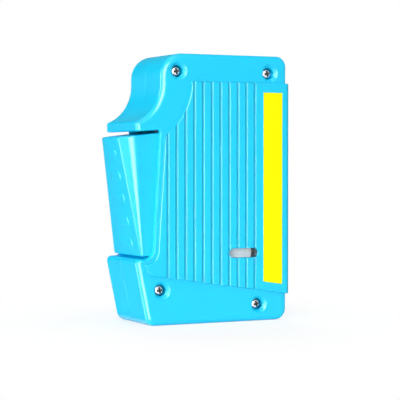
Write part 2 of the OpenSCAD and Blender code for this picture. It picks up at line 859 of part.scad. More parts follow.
// Drive pawl, lifted just clear of the ratchet's crests
module drive_pawl() {
    tip_r = ratchet_r + drive_lift;
    arm_r = (drive_arm_in_r + drive_arm_out_r) / 2;
    eye = takeup + polar(drive_pawl_r, drive_pawl_angle);
    color("orange")
    difference() {
        union() {
            rod_y(eye, drive_hub_r, pawl_front, pawl_front + pawl_t);
            along_y(pawl_front, pawl_front + pawl_t)
                translate(takeup)
                    polygon(ring_sector(drive_arm_in_r, drive_arm_out_r, drive_pawl_angle,
                        drive_tip_angle + pawl_tip_half));
            along_y(pawl_front, pawl_front + pawl_t)
                translate(takeup)
                    polygon([polar(arm_r, drive_tip_angle - 2 * pawl_tip_half),
                        polar(tip_r, drive_tip_angle), polar(tip_r, drive_tip_angle + pawl_tip_half),
                        polar(arm_r, drive_tip_angle + pawl_tip_half - pawl_tip_back)]);
        }
        rod_y(eye, drive_pin_r + run_gap, pawl_front - over, pawl_front + pawl_t + over);
    }
}

// Leaf that presses the drive pawl inward, held in the gear's back face
module drive_pawl_spring() {
    leaf_r = drive_arm_out_r + soft_gap;
    color("silver")
    along_y(gear_back, pawl_front + leaf_w)
        translate(takeup)
            polygon(ring_sector(leaf_r, leaf_r + leaf_t, drive_pawl_angle + drive_leaf_start,
                drive_tip_angle));
}

hold_pivot = takeup + polar(hold_pawl_r, hold_pawl_angle);
hold_tip = takeup + polar(hold_tip_r, pawl_tip_angle);
hold_heel = takeup + polar(hold_tip_r + hold_arm_w, pawl_tip_angle + pawl_tip_half);
hold_aim = atan2(hold_tip[1] - hold_pivot[1], hold_tip[0] - hold_pivot[0]);
hold_hub_back = hold_pivot + polar(hold_hub_r, hold_aim - 90);

// Leaf of the holding pawl: its way, its outer side and its tail, clear of the lifted pawl
hold_leaf_angle = atan2(hold_heel[1] - hold_hub_back[1], hold_heel[0] - hold_hub_back[0])
    - hold_lift - hold_spare;
hold_leaf_out = polar(1, hold_leaf_angle - 90);
hold_leaf_tail_end = hold_pivot + polar(hold_hub_r, hold_aim - 90 - hold_lift - hold_spare)
    + hold_leaf_out * soft_gap - polar(hold_leaf_tail, hold_leaf_angle);

// Holding pawl, drawn in the ratchet and then lifted clear of its crests
module holding_pawl() {
    color("orange")
    translate([hold_pivot[0], 0, hold_pivot[1]])
        rotate([0, hold_lift, 0])
            translate([-hold_pivot[0], 0, -hold_pivot[1]])
                difference() {
                    along_y(pawl_front, pawl_front + pawl_t) {
                        translate(hold_pivot) circle(r = hold_hub_r);
                        polygon([hold_hub_back, hold_heel,
                            takeup + polar(hold_tip_r, pawl_tip_angle + pawl_tip_half), hold_tip,
                            takeup + polar(ratchet_r + hold_throat, pawl_tip_angle - 2 * pawl_tip_half),
                            hold_pivot + polar(hold_hub_r, hold_aim + 90)]);
                    }
                    rod_y(hold_pivot, hold_pin_r + run_gap, pawl_front - over,
                        pawl_front + pawl_t + over);
                }
}

module holding_pawl_pin() {
    color("silver")
    rod_y(hold_pivot, hold_pin_r, -inner_y - axle_sink + seat_gap, pawl_front + pawl_t);
}

// Two posts on the front shell that hold the tail of the holding pawl's leaf between them
module leaf_posts() {
    for (reach = [-seat_gap - leaf_post_r, leaf_t + seat_gap + leaf_post_r])
        rod_y(hold_leaf_tail_end + polar(leaf_post_r, hold_leaf_angle) + hold_leaf_out * reach,
            leaf_post_r, -inner_y - seat_gap, pawl_front + leaf_w);
}

module holding_pawl_spring() {
    tip = hold_leaf_tail_end + polar(hold_leaf_len, hold_leaf_angle);
    side = hold_leaf_out * leaf_t;
    color("silver")
    along_y(pawl_front, pawl_front + leaf_w)
        polygon([hold_leaf_tail_end, tip, tip + side, hold_leaf_tail_end + side]);
}

module ratchet_wheel() {
    color("ivory")
    difference() {
        along_y(-reel_half - ratchet_t, -reel_half)
            translate(takeup)
                polygon([for (k = [0:ratchet_teeth - 1])
                    let (a = ratchet_phase + k * ratchet_pitch)
                    each [polar(ratchet_root_r, a), polar(ratchet_r, a),
                        polar(ratchet_r, a + ratchet_pitch / 12),
                        polar((ratchet_r + ratchet_root_r) / 2, a + ratchet_pitch / 2)]]);
        rod_y(takeup, axle_r + run_gap, -reel_half - ratchet_t - over, over - reel_half);
    }
}

module reel(place, flange_r) {
    difference() {
        union() {
            rod_y(place, reel_hub_r, -reel_half, reel_half);
            for (side = [-1, 1])
                rod_y(place, flange_r, side * reel_half - (side > 0 ? flange_t : 0),
                    side * reel_half + (side > 0 ? 0 : flange_t));
        }
        rod_y(place, axle_r + run_gap, -reel_half - over, reel_half + over);
        for (k = [0:reel_hole_count - 1])
            rod_y(place + polar((reel_hub_r + flange_r) / 2, 90 + k * 360 / reel_hole_count),
                reel_hole_r, -reel_half - over, reel_half + over);
    }
}

module tape_roll(place, roll_r) {
    difference() {
        rod_y(place, roll_r, -tape_w / 2, tape_w / 2);
        rod_y(place, reel_hub_r + seat_gap, -tape_w / 2 - over, tape_w / 2 + over);
    }
}

module takeup_reel() {
    color("white") reel(takeup, takeup_r);
}

module takeup_tape_roll() {
    color("whitesmoke") tape_roll(takeup, takeup_roll_r);
}

// Disc that fills the view through the window, on a forward stretch of the hub
module sight_disc() {
    difference() {
        union() {
            rod_y(supply, reel_hub_r, sight_back - sight_t / 2, flange_t / 2 - reel_half);
            rod_y(supply, sight_r, sight_front, sight_back);
        }
        rod_y(supply, axle_r + run_gap, sight_front - over, flange_t - reel_half);
    }
}

module supply_reel() {
    color("white") {
        reel(supply, supply_r);
        sight_disc();
    }
}

module supply_tape_roll() {
    color("whitesmoke") tape_roll(supply, supply_roll_r);
}

module axle(place, r) {
    color("silver")
    rod_y(place, r, -inner_y - axle_sink + seat_gap, inner_y + axle_sink - seat_gap);
}

module takeup_axle() {
    axle(takeup, axle_r);
}

module supply_axle() {
    axle(supply, axle_r);
}

module brake_spring() {
    color("silver")
    translate([brake_x, brake_y, brake_z - brake_leaf_w / 2])
        cube([brake_len, leaf_t, brake_leaf_w]);
}

module brake_felt() {
    color("dimgray")
    translate([brake_x + brake_len - felt_len, brake_y - felt_t, brake_z - brake_leaf_w / 2])
        cube([felt_len, felt_t, brake_leaf_w]);
}

module guide_roller(z) {
    color("white")
    difference() {
        rod_y([roller_x, z], roller_r, -roller_half, roller_half);
        rod_y([roller_x, z], roller_pin_r + run_gap, -roller_half - over, roller_half + over);
    }
}

module lower_guide_roller() {
    guide_roller(lower_z);
}

module upper_guide_roller() {
    guide_roller(upper_z);
}

module lower_roller_pin() {
    axle([roller_x, lower_z], roller_pin_r);
}

module upper_roller_pin() {
    axle([roller_x, upper_z], roller_pin_r);
}

// Direction from each centre to the tangent on the right of the way from p to q
function tangent_angle(p, q, rp, rq) =
    atan2(q[1] - p[1], q[0] - p[0]) - acos((rp - rq) / norm(q - p));

function tape_side(off) =
    let (low = [roller_x, lower_z], high = [roller_x, upper_z], r = roller_r + off,
         a = tangent_angle(supply, low, supply_roll_r + off, r),
         b = tangent_angle(high, takeup, r, takeup_roll_r + off), steps = 8)
    concat([supply + polar(supply_roll_r + off, a)],
        [for (k = [0:steps]) low + polar(r, a - a * k / steps)],
        [for (k = [0:steps]) high + polar(r, b * k / steps)],
        [takeup + polar(takeup_roll_r + off, b)]);

module cleaning_tape() {
    inner = tape_side(tape_gap);
    outer = tape_side(tape_gap + tape_t);
    color("white")
    along_y(-tape_w / 2, tape_w / 2)
        polygon(concat(outer, [for (i = [len(inner) - 1:-1:0]) inner[i]]));
}

module platen_block() {
    color("dimgray")
    difference() {
        translate([pad_out_x - pad_t - platen_t, -platen_half, platen_foot])
            cube([platen_t, platen_half + inner_y, platen_h]);
        mirror([0, 1, 0]) platen_pegs(seat_gap);
    }
}

module platen_pad() {
    color("black")
    translate([pad_out_x - pad_t, pad_side_gap - platen_half, platen_foot])
        cube([pad_t, 2 * (platen_half - pad_side_gap), platen_h]);
}

module slot_plate() {
    color("dimgray")
    difference() {
        translate([slot_plate_in, -slot_plate_half, slot_plate_foot])
            cube([slot_plate_t, 2 * slot_plate_half, slot_plate_top - slot_plate_foot]);
        for (side = [-1, 1])
            translate([slot_plate_in - over, side * (slot_gap + slot_w) / 2 - slot_w / 2,
                    mouth_foot + (mouth_h - slot_h) / 2])
                cube([slot_plate_t + 2 * over, slot_w, slot_h]);
    }
}

// Rack tooth form, with a gap between teeth at the height of the take-up axle
module rack_tooth(z) {
    slope = tan(pressure_angle);
    half = PI * gear_module / 4 - backlash / 2;
    tip = rack_pitch_x - gear_module;
    polygon([[shutter_in_x + seat_gap, z - half - slope * root_depth],
        [tip, z - half + slope * gear_module],
        [tip, z + half - slope * gear_module],
        [shutter_in_x + seat_gap, z + half + slope * root_depth]]);
}

module shutter() {
    below = ceil((shutter_travel + PI * gear_module) / (PI * gear_module));
    color("lightgray") {
        translate([shutter_in_x, -shutter_half, shutter_foot])
            cube([shutter_t, 2 * shutter_half, shutter_h]);
        along_y(gear_front, gear_back)
            for (k = [-below:0])
                rack_tooth(takeup[1] + (k + 0.5) * PI * gear_module);
    }
}

front_shell();
rear_shell();
case_screws();
front_label();
viewing_window();
thumb_lever();
lever_pivot_pin();
lever_return_spring();
sector_arm();
drive_gear();
drive_pawl();
drive_pawl_spring();
holding_pawl();
holding_pawl_pin();
holding_pawl_spring();
ratchet_wheel();
takeup_reel();
takeup_tape_roll();
takeup_axle();
supply_reel();
supply_tape_roll();
supply_axle();
brake_spring();
brake_felt();
lower_guide_roller();
lower_roller_pin();
upper_guide_roller();
upper_roller_pin();
cleaning_tape();
platen_block();
platen_pad();
slot_plate();
shutter();
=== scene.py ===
"""Looks of a fibre optic cleaning cassette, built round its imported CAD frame.

The moulded case, the thumb lever, the label, the window and the screws are modelled here with
their fine rounds. The mechanism inside keeps its CAD solids and gets better finishes. Forms are
drawn in millimetres, with X to the right, Y to the rear and Z up.
"""

import json
import logging
import math
from dataclasses import astuple, dataclass
from enum import Enum
from typing import Any, Callable, Iterable, Sequence, Union

import bpy
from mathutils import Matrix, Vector


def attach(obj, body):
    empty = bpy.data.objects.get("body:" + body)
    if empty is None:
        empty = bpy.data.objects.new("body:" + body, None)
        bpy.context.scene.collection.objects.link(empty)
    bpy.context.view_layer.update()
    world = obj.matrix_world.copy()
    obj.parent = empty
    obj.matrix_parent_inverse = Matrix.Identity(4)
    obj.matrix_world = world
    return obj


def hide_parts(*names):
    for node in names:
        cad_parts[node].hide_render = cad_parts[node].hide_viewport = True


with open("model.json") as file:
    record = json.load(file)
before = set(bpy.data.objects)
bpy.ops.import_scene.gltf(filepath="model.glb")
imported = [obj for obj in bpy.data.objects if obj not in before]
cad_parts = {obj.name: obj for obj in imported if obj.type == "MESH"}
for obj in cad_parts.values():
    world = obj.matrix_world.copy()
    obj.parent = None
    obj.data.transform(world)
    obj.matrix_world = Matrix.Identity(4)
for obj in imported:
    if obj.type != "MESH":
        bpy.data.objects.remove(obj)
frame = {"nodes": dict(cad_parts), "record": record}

LOG = logging.getLogger("cleaning_cassette")
MM = 0.001
SEEN = ("Is Camera Ray", "Is Glossy Ray", "Is Transmission Ray")

# Y of the plain front, of the raised panel's face and of the wall's inner side, in millimetres,
# and how far the panel's foot falls for each millimetre to the right.
FRONT_Y = -17.0
PANEL_Y = -18.0
INNER_Y = -15.0
FOOT_SLOPE = 0.1516

# How far a cutter reaches past what it cuts, in millimetres, and how far in the middle point of
# a soft edge lies, as a share of the edge.
PAST = 1.0
MIDWAY = 0.3

Point2 = tuple[float, float]
Point3 = tuple[float, float, float]
Profile = tuple[Point2, ...]
Ring = list[Point3]
Colour = tuple[float, float, float]


class Side(Enum):
    """The two halves of the case."""

    FRONT = "front"
    REAR = "rear"


class Cut(Enum):
    """The ways in which one mesh works on another."""

    AWAY = "DIFFERENCE"
    TOGETHER = "UNION"
    COMMON = "INTERSECT"


# Shader maths


@dataclass(frozen=True)
class Grain:
    """Soft noise on a surface, with a stretch of its pattern along each axis."""

    size_mm: float
    detail: float
    stretch: Point3 = (1.0, 1.0, 1.0)


class Sock:
    """An output of a shader node that takes part in plain Python sums."""

    def __init__(self, graph: "Graph", socket: Any) -> None:
        """Keeps the output socket and the graph that new nodes go into."""
        self.graph = graph
        self.socket = socket

    def _sum(self, operation: str, first: "Value", second: "Value") -> "Sock":
        """Adds one Math node and returns its result."""
        return self.graph.add("ShaderNodeMath", {"operation": operation}, {0: first, 1: second})

    def __add__(self, other: "Value") -> "Sock":
        """Returns self + other."""
        return self._sum("ADD", self, other)

    def __radd__(self, other: "Value") -> "Sock":
        """Returns other + self."""
        return self._sum("ADD", other, self)

    def __sub__(self, other: "Value") -> "Sock":
        """Returns self - other."""
        return self._sum("SUBTRACT", self, other)

    def __rsub__(self, other: "Value") -> "Sock":
        """Returns other - self."""
        return self._sum("SUBTRACT", other, self)

    def __mul__(self, other: "Value") -> "Sock":
        """Returns self * other."""
        return self._sum("MULTIPLY", self, other)

    def __rmul__(self, other: "Value") -> "Sock":
        """Returns other * self."""
        return self._sum("MULTIPLY", other, self)


Value = Union[Sock, float, int, tuple]


class Graph:
    """The node graph of one material or of the world, with one shader at its end."""

    def __init__(self, name: str, sky: bool = False) -> None:
        """Makes an empty material or world.

        Args:
            name: Its name.
            sky: Whether it is the world.
        """
        self.owner = (bpy.data.worlds if sky else bpy.data.materials).new(name)
        self.owner.use_nodes = True
        self.tree = self.owner.node_tree
        self.tree.nodes.clear()
        self.last = "ShaderNodeOutputWorld" if sky else "ShaderNodeOutputMaterial"

    def add(self, kind: str, settings: dict[str, Any], inputs: dict[Any, Value],
            result: Any = 0) -> Sock:
        """Adds one node.

        Args:
            kind: The node's Blender type.
            settings: Its own settings, set before its sockets.
            inputs: Values or links of its sockets, by name or number.
            result: The name or number of the output that is wanted.

        Returns:
            The wanted output, which is empty for a node that has none.
        """
        node = self.tree.nodes.new(kind)
        for key, value in settings.items():
            setattr(node, key, value)
        for key, value in inputs.items():
            if isinstance(value, Sock):
                self.tree.links.new(value.socket, node.inputs[key])
            else:
                node.inputs[key].default_value = value
        return Sock(self, node.outputs[result] if node.outputs else None)

    def place(self) -> Sock:
        """Returns the point on the object, in metres."""
        return self.add("ShaderNodeTexCoord", {}, {}, "Object")

    def unit(self, vector: Sock) -> Sock:
        """Returns a vector made one long."""
        return self.add("ShaderNodeVectorMath", {"operation": "NORMALIZE"}, {0: vector})

    def along(self, vector: Sock, way: Point3) -> Sock:
        """Returns how far a vector reaches along a fixed direction."""
        return self.add("ShaderNodeVectorMath", {"operation": "DOT_PRODUCT"}, {
            0: vector, 1: way}, "Value")

    def off_middle(self) -> Sock:
        """Returns the distance from the parting plane, in metres."""
        y = self.along(self.place(), (0.0, 1.0, 0.0))
        return self.largest(y, 0.0 - y)

    def noise(self, grain: Grain) -> Sock:
        """Returns noise of that grain, from zero to one."""
        where = self.add("ShaderNodeMapping", {}, {"Vector": self.place(), "Scale": grain.stretch})
        return self.add("ShaderNodeTexNoise", {}, {
            "Vector": where, "Scale": 1.0 / (grain.size_mm * MM), "Detail": grain.detail}, "Fac")

    def mix(self, share: Value, first: Value, second: Value) -> Sock:
        """Returns the first colour with a share of the second one in it."""
        ends = [end if isinstance(end, Sock) else (*end, 1.0) for end in (first, second)]
        return self.add("ShaderNodeMix", {"data_type": "RGBA"}, {
            0: share, 6: ends[0], 7: ends[1]}, 2)

    def step(self, value: Sock, low: float, high: float, start: float, end: float) -> Sock:
        """Moves softly from start to end while the value goes from low to high."""
        return self.add("ShaderNodeMapRange", {"interpolation_type": "SMOOTHSTEP"}, {
            "Value": value, "From Min": low, "From Max": high, "To Min": start, "To Max": end})

    def largest(self, first: Value, second: Value) -> Sock:
        """Returns the larger of two values."""
        return self.add("ShaderNodeMath", {"operation": "MAXIMUM"}, {0: first, 1: second})

    def bump(self, height: Sock, strength: float, depth_mm: float) -> Sock:
        """Returns the normal that a height from zero to one bends, at a depth and a strength."""
        return self.add("ShaderNodeBump", {}, {
            "Height": height, "Strength": strength, "Distance": depth_mm * MM})

    def finish(self, inputs: dict[str, Value]) -> Any:
        """Ends the graph with a Principled shader and returns the material."""
        return self.end(self.add("ShaderNodeBsdfPrincipled", {}, inputs))

    def end(self, shader: Sock) -> Any:
        """Joins the last shader to the output and returns the material or the world."""
        self.add(self.last, {}, {"Surface": shader})
        return self.owner


# Finishes


def shade(colour: Colour, factor: float) -> Colour:
    """Returns a darker or lighter colour, with no channel over one."""
    return tuple(min(channel * factor, 1.0) for channel in colour)


@dataclass(frozen=True)
class Finish:
    """Moulded plastic, or any finish whose colour, gloss and height each follow a noise.

    The shades are factors of the colour, and more is what full noise adds to the roughness.
    """

    name: str
    colour: Colour
    roughness: float
    more: float = 0.08
    cloud: Grain = Grain(14.0, 2.0)
    shades: Point2 = (0.97, 1.03)
    gloss: Grain = Grain(5.0, 3.0)
    grain: Grain = Grain(0.6, 3.0)
    depth_mm: float = 0.002
    strength: float = 0.35
    metallic: float = 0.0
    specular: float = 0.5

    def tint(self, g: Graph) -> Sock:
        """Returns the colour, which changes slowly over the surface."""
        dark, light = (shade(self.colour, factor) for factor in self.shades)
        return g.mix(g.noise(self.cloud), dark, light)

    def make(self) -> Any:
        """Builds the material.

        Returns:
            The material.
        """
        g = Graph(self.name)
        return g.finish({
            "Base Color": self.tint(g),
            "Metallic": self.metallic,
            "Roughness": self.roughness + g.noise(self.gloss) * self.more,
            "Specular IOR Level": self.specular,
            "Normal": g.bump(g.noise(self.grain), self.strength, self.depth_mm),
        })


@dataclass(frozen=True)
class PlasticWithPaintedGrooveShade(Finish):
    """Moulded plastic of the case, with painted shade in its grooves. Depths are below the panel's
    face.
    """

    lip: Point2 = (0.04, 0.3)
    bed: Point2 = (0.9, 0.95)
    # Factor of the colour for the painted shade in the grooves.
    painted_groove_shade: float = 0.68

    def tint(self, g: Graph) -> Sock:
        """Paints shade into the colour between a groove's lip and its bed.

        Args:
            g: The graph to add the nodes to.

        Returns:
            The colour.
        """
        off, face = g.off_middle() * (1.0 / MM), -PANEL_Y
        # Painted shade: the base colour grows darker between each groove's lip and its bed, where
        # shade falls.
        below = g.step(off, face - self.lip[1], face - self.lip[0], 1.0, 0.0)
        above = g.step(off, face - self.bed[1], face - self.bed[0], 0.0, 1.0)
        return g.mix(below * above, super().tint(g), shade(self.colour, self.painted_groove_shade))


@dataclass(frozen=True)
class Metal(Finish):
    """Bright metal with the fine lines that its last tool left."""

    cloud: Grain = Grain(2.5, 2.0)
    shades: Point2 = (0.92, 1.0)
    gloss: Grain = Grain(2.5, 2.0)
    grain: Grain = Grain(0.12, 2.0, (1.0, 0.05, 1.0))
    depth_mm: float = 0.003
    strength: float = 0.3
    metallic: float = 1.0


@dataclass(frozen=True)
class LabelFilm(Finish):
    """Bare film of the label, with a slight orange peel and little gloss."""

    more: float = 0.06
    cloud: Grain = Grain(20.0, 1.0)
    shades: Point2 = (0.98, 1.0)
    gloss: Grain = Grain(0.9, 2.0)
    grain: Grain = Grain(0.9, 2.0)
    depth_mm: float = 0.006
    strength: float = 0.2
    specular: float = 0.06


@dataclass(frozen=True)
class SoftMatter:
    """Felt or rubber: dull, with one uneven surface for colour, gloss and height."""

    name: str
    colour: Colour
    roughness: float
    grain: Grain
    depth_mm: float
    more: float = -0.1
    shades: Point2 = (0.7, 1.2)
    strength: float = 0.6

    def make(self) -> Any:
        """Builds the material, with one noise for all that changes.

        Returns:
            The material.
        """
        return Finish(
            self.name, self.colour, self.roughness, self.more, cloud=self.grain,
            shades=self.shades, gloss=self.grain, grain=self.grain, depth_mm=self.depth_mm,
            strength=self.strength).make()


@dataclass(frozen=True)
class Woven:
    """Close woven cloth of the cleaning tape, from waves along the three axes."""

    name: str
    colour: Colour
    roughness: float
    more: float = -0.1
    gap_shade: float = 0.86
    pitch_mm: float = 0.35
    pitch_scale: float = 0.05
    waver: float = 0.4
    wave_share: float = 0.333
    depth_mm: float = 0.03
    strength: float = 0.5

    def make(self) -> Any:
        """Builds the material, from three waves that cross.

        Returns:
            The material.
        """
        g = Graph(self.name)
        waves = [
            g.add("ShaderNodeTexWave", {"bands_direction": way}, {
                "Vector": g.place(), "Scale": self.pitch_scale / (self.pitch_mm * MM),
                "Distortion": self.waver, "Detail": 1.0}, "Fac")
            for way in ("X", "Y", "Z")]
        weave = (waves[0] + waves[1] + waves[2]) * self.wave_share
        return g.finish({
            "Base Color": g.mix(weave, shade(self.colour, self.gap_shade), self.colour),
            "Roughness": self.roughness + weave * self.more,
            "Normal": g.bump(weave, self.strength, self.depth_mm),
        })


@dataclass(frozen=True)
class ClearPlastic:
    """Clear plastic of the window. Roughness and cover both rise with a faint haze."""

    name: str
    colour: Colour
    roughness: float
    cover: float
    haze: Grain = Grain(1.5, 3.0)
    more_roughness: float = 0.06
    more_cover: float = 0.03

    def make(self) -> Any:
        """Builds the material, which shows what lies behind it.

        Returns:
            The material.
        """
        g = Graph(self.name)
        haze = g.noise(self.haze)
        material = g.finish({
            "Base Color": (*self.colour, 1.0),
            "Roughness": self.roughness + haze * self.more_roughness,
            "Alpha": self.cover + haze * self.more_cover,
        })
        material.blend_method = "BLEND"
        return material


BLUE: Colour = (0.002, 0.64, 0.96)


class Finishes:
    """All finishes of the cassette, by the name of their material slot."""

    def __init__(self) -> None:
        """Makes one material for each slot."""
        rows = [
            # Case plastic, with painted shade in its grooves.
            PlasticWithPaintedGrooveShade("case_blue", BLUE, 0.21),
            Finish("lever_blue", BLUE, 0.21),
            Metal("screw_chrome", (0.86, 0.87, 0.88), 0.10),
            # Near-black finish of painted shade inside the screws' cross recesses.
            Finish("screw_recess", (0.004, 0.004, 0.005), 0.56),
            LabelFilm("label_yellow", (1.0, 0.98, 0.0), 0.42),
            # Near-black finish of painted shade at the window's right end.
            Finish("window_edge", (0.03, 0.05, 0.07), 0.26),
            ClearPlastic("window_clear", (0.9, 0.95, 0.97), 0.06, 0.03),
            Metal("pin_steel", (0.62, 0.63, 0.65), 0.24),
            Metal("spring_steel", (0.55, 0.56, 0.58), 0.28, grain=Grain(0.12, 2.0)),
            Finish("gear_plastic", (0.80, 0.77, 0.66), 0.41),
            Finish("pawl_plastic", (0.85, 0.28, 0.03), 0.38),
            Finish("reel_white", (0.97, 0.97, 0.97), 0.36),
            Woven("tape_fabric", (0.88, 0.88, 0.86), 0.9),
            SoftMatter("felt_grey", (0.28, 0.28, 0.29), 0.85, Grain(0.18, 6.0), 0.08),
            Finish("frame_dark", (0.035, 0.037, 0.042), 0.44),
            SoftMatter("pad_rubber", (0.02, 0.02, 0.021), 0.7, Grain(0.4, 6.0), 0.02),
            Finish("shutter_grey", (0.48, 0.50, 0.52), 0.36),
        ]
        self.by_name = {row.name: row.make() for row in rows}

    def __getitem__(self, name: str) -> Any:
        """Returns the material with that name."""
        return self.by_name[name]


# Meshes


class Piece:
    """One mesh object while it is made, from its first form to its place on a body."""

    def __init__(self, name: str, rings: Sequence[Ring] = ()) -> None:
        """Makes a closed mesh from rings of points in millimetres, with flat ends.

        Args:
            name: The object's name.
            rings: Rings of equal length, from one end to the other.
        """
        mesh = bpy.data.meshes.new(name)
        self.obj = bpy.data.objects.new(name, mesh)
        bpy.context.scene.collection.objects.link(self.obj)
        if rings:
            n = len(rings[0])
            points = [tuple(c * MM for c in p) for ring in rings for p in ring]
            last = (len(rings) - 1) * n
            faces = [tuple(range(n)), tuple(last + i for i in range(n - 1, -1, -1))]
            for k in range(len(rings) - 1):
                for i in range(n):
                    j = (i + 1) % n
                    faces.append((k * n + i, (k + 1) * n + i, (k + 1) * n + j, k * n + j))
            mesh.from_pydata(points, [], faces)
            self._face_outward()

    def _face_outward(self) -> None:
        """Turns the faces so that the closed mesh has a positive volume."""
        mesh = self.obj.data
        volume = 0.0
        for polygon in mesh.polygons:
            corners = [mesh.vertices[i].co for i in polygon.vertices]
            for k in range(1, len(corners) - 1):
                volume += corners[0].dot(corners[k].cross(corners[k + 1]))
        if volume < 0:
            mesh.flip_normals()

    def settle(self) -> "Piece":
        """Makes the modifiers part of the mesh.

        Returns:
            The piece itself.
        """
        graph = bpy.context.evaluated_depsgraph_get()
        mesh = bpy.data.meshes.new_from_object(self.obj.evaluated_get(graph))
        old = self.obj.data
        self.obj.modifiers.clear()
        self.obj.data = mesh
        bpy.data.meshes.remove(old)
        return self

    def work(self, how: Cut, *others: "Piece") -> "Piece":
        """Cuts with, adds or keeps the common part of other pieces, which are used up.

        Args:
            how: The kind of work.
            others: The other pieces. They don't touch one another.

        Returns:
            The piece itself.
        """
        tool = others[0].join(*others[1:]) if len(others) > 1 else others[0]
        modifier = self.obj.modifiers.new("work", "BOOLEAN")
        modifier.operation = how.value
        modifier.solver = "EXACT"
        modifier.object = tool.obj
        self.settle()
        tool.drop()
        return self

    def join(self, *others: "Piece") -> "Piece":
        """Takes the meshes of other pieces into this one.

        Args:
            others: The other pieces, which are used up.

        Returns:
            The piece itself.
        """
        points: list[Point3] = []
        faces: list[tuple[int, ...]] = []
        for piece in (self, *others):
            start = len(points)
            points += [tuple(v.co) for v in piece.obj.data.vertices]
            faces += [tuple(start + i for i in p.vertices) for p in piece.obj.data.polygons]
        mesh = bpy.data.meshes.new(self.obj.name)
        mesh.from_pydata(points, [], faces)
        old = self.obj.data
        self.obj.data = mesh
        bpy.data.meshes.remove(old)
        for piece in others:
            piece.drop()
        return self

    def drop(self) -> None:
        """Removes the object and its mesh."""
        mesh = self.obj.data
        bpy.data.objects.remove(self.obj)
        bpy.data.meshes.remove(mesh)

    def bevel(self, width_mm: float, segments: int, angle: float) -> "Piece":
        """Rounds the sharp edges.

        Args:
            width_mm: Width of the round.
            segments: Number of faces across it.
            angle: Edges that turn more than this are rounded, in degrees.

        Returns:
            The piece itself.
        """
        modifier = self.obj.modifiers.new("round", "BEVEL")
        modifier.width = width_mm * MM
        modifier.segments = segments
        modifier.limit_method = "ANGLE"
        modifier.angle_limit = math.radians(angle)
        modifier.use_clamp_overlap = True
        return self.settle()

    def mirror(self) -> "Piece":
        """Turns a front piece into a rear piece.

        Returns:
            The piece itself.
        """
        mesh = self.obj.data
        for vertex in mesh.vertices:
            vertex.co.y = -vertex.co.y
        mesh.flip_normals()
        return self

    def smooth(self, angle: float, face_weight: int = 80) -> "Piece":
        """Shades the mesh smooth between edges that turn more than the angle.

        Args:
            angle: The angle in degrees.
            face_weight: How far large faces lead their neighbours' shading.

        Returns:
            The piece itself.
        """
        mesh = self.obj.data
        mesh.shade_smooth()
        mesh.set_sharp_from_angle(angle=math.radians(angle))
        modifier = self.obj.modifiers.new("normals", "WEIGHTED_NORMAL")
        modifier.keep_sharp = True
        modifier.weight = face_weight
        return self.settle()

    def paint(self, finishes: Finishes, outer: str, inner: str,
              is_inner: Callable[[Any], bool]) -> "Piece":
        """Gives most faces one finish and some faces another.

        Args:
            finishes: All finishes.
            outer: The finish of most faces.
            inner: The finish of the others.
            is_inner: Tells of a face whether it is one of the others.

        Returns:
            The piece itself.
        """
        mesh = self.obj.data
        mesh.materials.append(finishes[outer])
        mesh.materials.append(finishes[inner])
        for polygon in mesh.polygons:
            if is_inner(polygon):
                polygon.material_index = 1
        return self

    def place(self, finishes: Finishes, slot: str, body: str, *nodes: str) -> "Piece":
        """Gives the piece its finish, its body and the CAD nodes that it stands for.

        Args:
            finishes: All finishes.
            slot: The material slot.
            body: The CAD body that it rides on.
            nodes: The CAD nodes that it replaces.

        Returns:
            The piece itself.
        """
        if not self.obj.data.materials:
            self.obj.data.materials.append(finishes[slot])
        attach(self.obj, body)
        if nodes:
            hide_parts(*nodes)
        LOG.info("%s: %d faces, rides on %s", self.obj.name, len(self.obj.data.polygons), body)
        return self


def polar(radius: float, angle: float) -> Point2:
    """Returns the point at a radius and an angle in degrees."""
    return (radius * math.cos(math.radians(angle)), radius * math.sin(math.radians(angle)))


def arc(centre: Point2, radius: float, start: float, turn: float, steps: int) -> list[Point2]:
    """Returns points round a centre, from a start angle through a turn, both in degrees."""
    points = (polar(radius, start + turn * k / steps) for k in range(steps + 1))
    return [(centre[0] + x, centre[1] + y) for x, y in points]


def quarter(steps: int) -> list[Point2]:
    """Returns the sine and the cosine at even steps from zero to a right angle."""
    turns = (math.radians(90.0 * k / steps) for k in range(steps + 1))
    return [(math.sin(a), math.cos(a)) for a in turns]


def cross(first: Vector, second: Vector) -> float:
    """Returns the cross product of two flat vectors."""
    return first.x * second.y - first.y * second.x


def corner_arc(corner: Vector, along: Vector, turn: float, radius: float,
               steps: int) -> list[Point2]:
    """Rounds one corner of an outline.

    Args:
        corner: The sharp corner.
        along: Direction of the edge that arrives there.
        turn: How far the outline turns, in radians.
        radius: Radius of the round.
        steps: Number of its steps.

    Returns:
        The points of the round.
    """
    inward = Vector((-along.y, along.x)) * (1.0 if turn > 0 else -1.0)
    start = corner - along * radius * math.tan(abs(turn) / 2)
    centre = start + inward * radius
    first = math.atan2(start.y - centre.y, start.x - centre.x)
    return [
        (centre.x + radius * math.cos(first + turn * k / steps),
         centre.y + radius * math.sin(first + turn * k / steps))
        for k in range(steps + 1)]


def stack(name: str, rows: Iterable[Point2], draw: Callable[[float], Sequence[Point2]]) -> Piece:
    """Joins outlines in X and Z, one for each row of Y and the number to draw it with."""
    return Piece(name, [[(x, y, z) for x, z in draw(value)] for y, value in rows])


def prism(name: str, outline: Sequence[Point2], y0: float, y1: float) -> Piece:
    """Returns a closed piece with a flat outline in X and Z, from y0 to y1."""
    return stack(name, [(y0, 0.0), (y1, 0.0)], lambda _: outline)


def box(name: str, low: Point3, high: Point3) -> Piece:
    """Returns a block between two corners, as a start for further work."""
    flat = [(low[0], low[2]), (high[0], low[2]), (high[0], high[2]), (low[0], high[2])]
    return prism(name, flat, low[1], high[1])


def lathe(name: str, centre: Point2, profile: Iterable[Point2], steps: int) -> Piece:
    """Returns a profile of radius and Y, turned round an axis along Y through the centre."""
    rows = [(y, radius) for radius, y in profile]
    return stack(name, rows, lambda radius: arc(centre, radius, 0.0, 360.0, steps)[:-1])


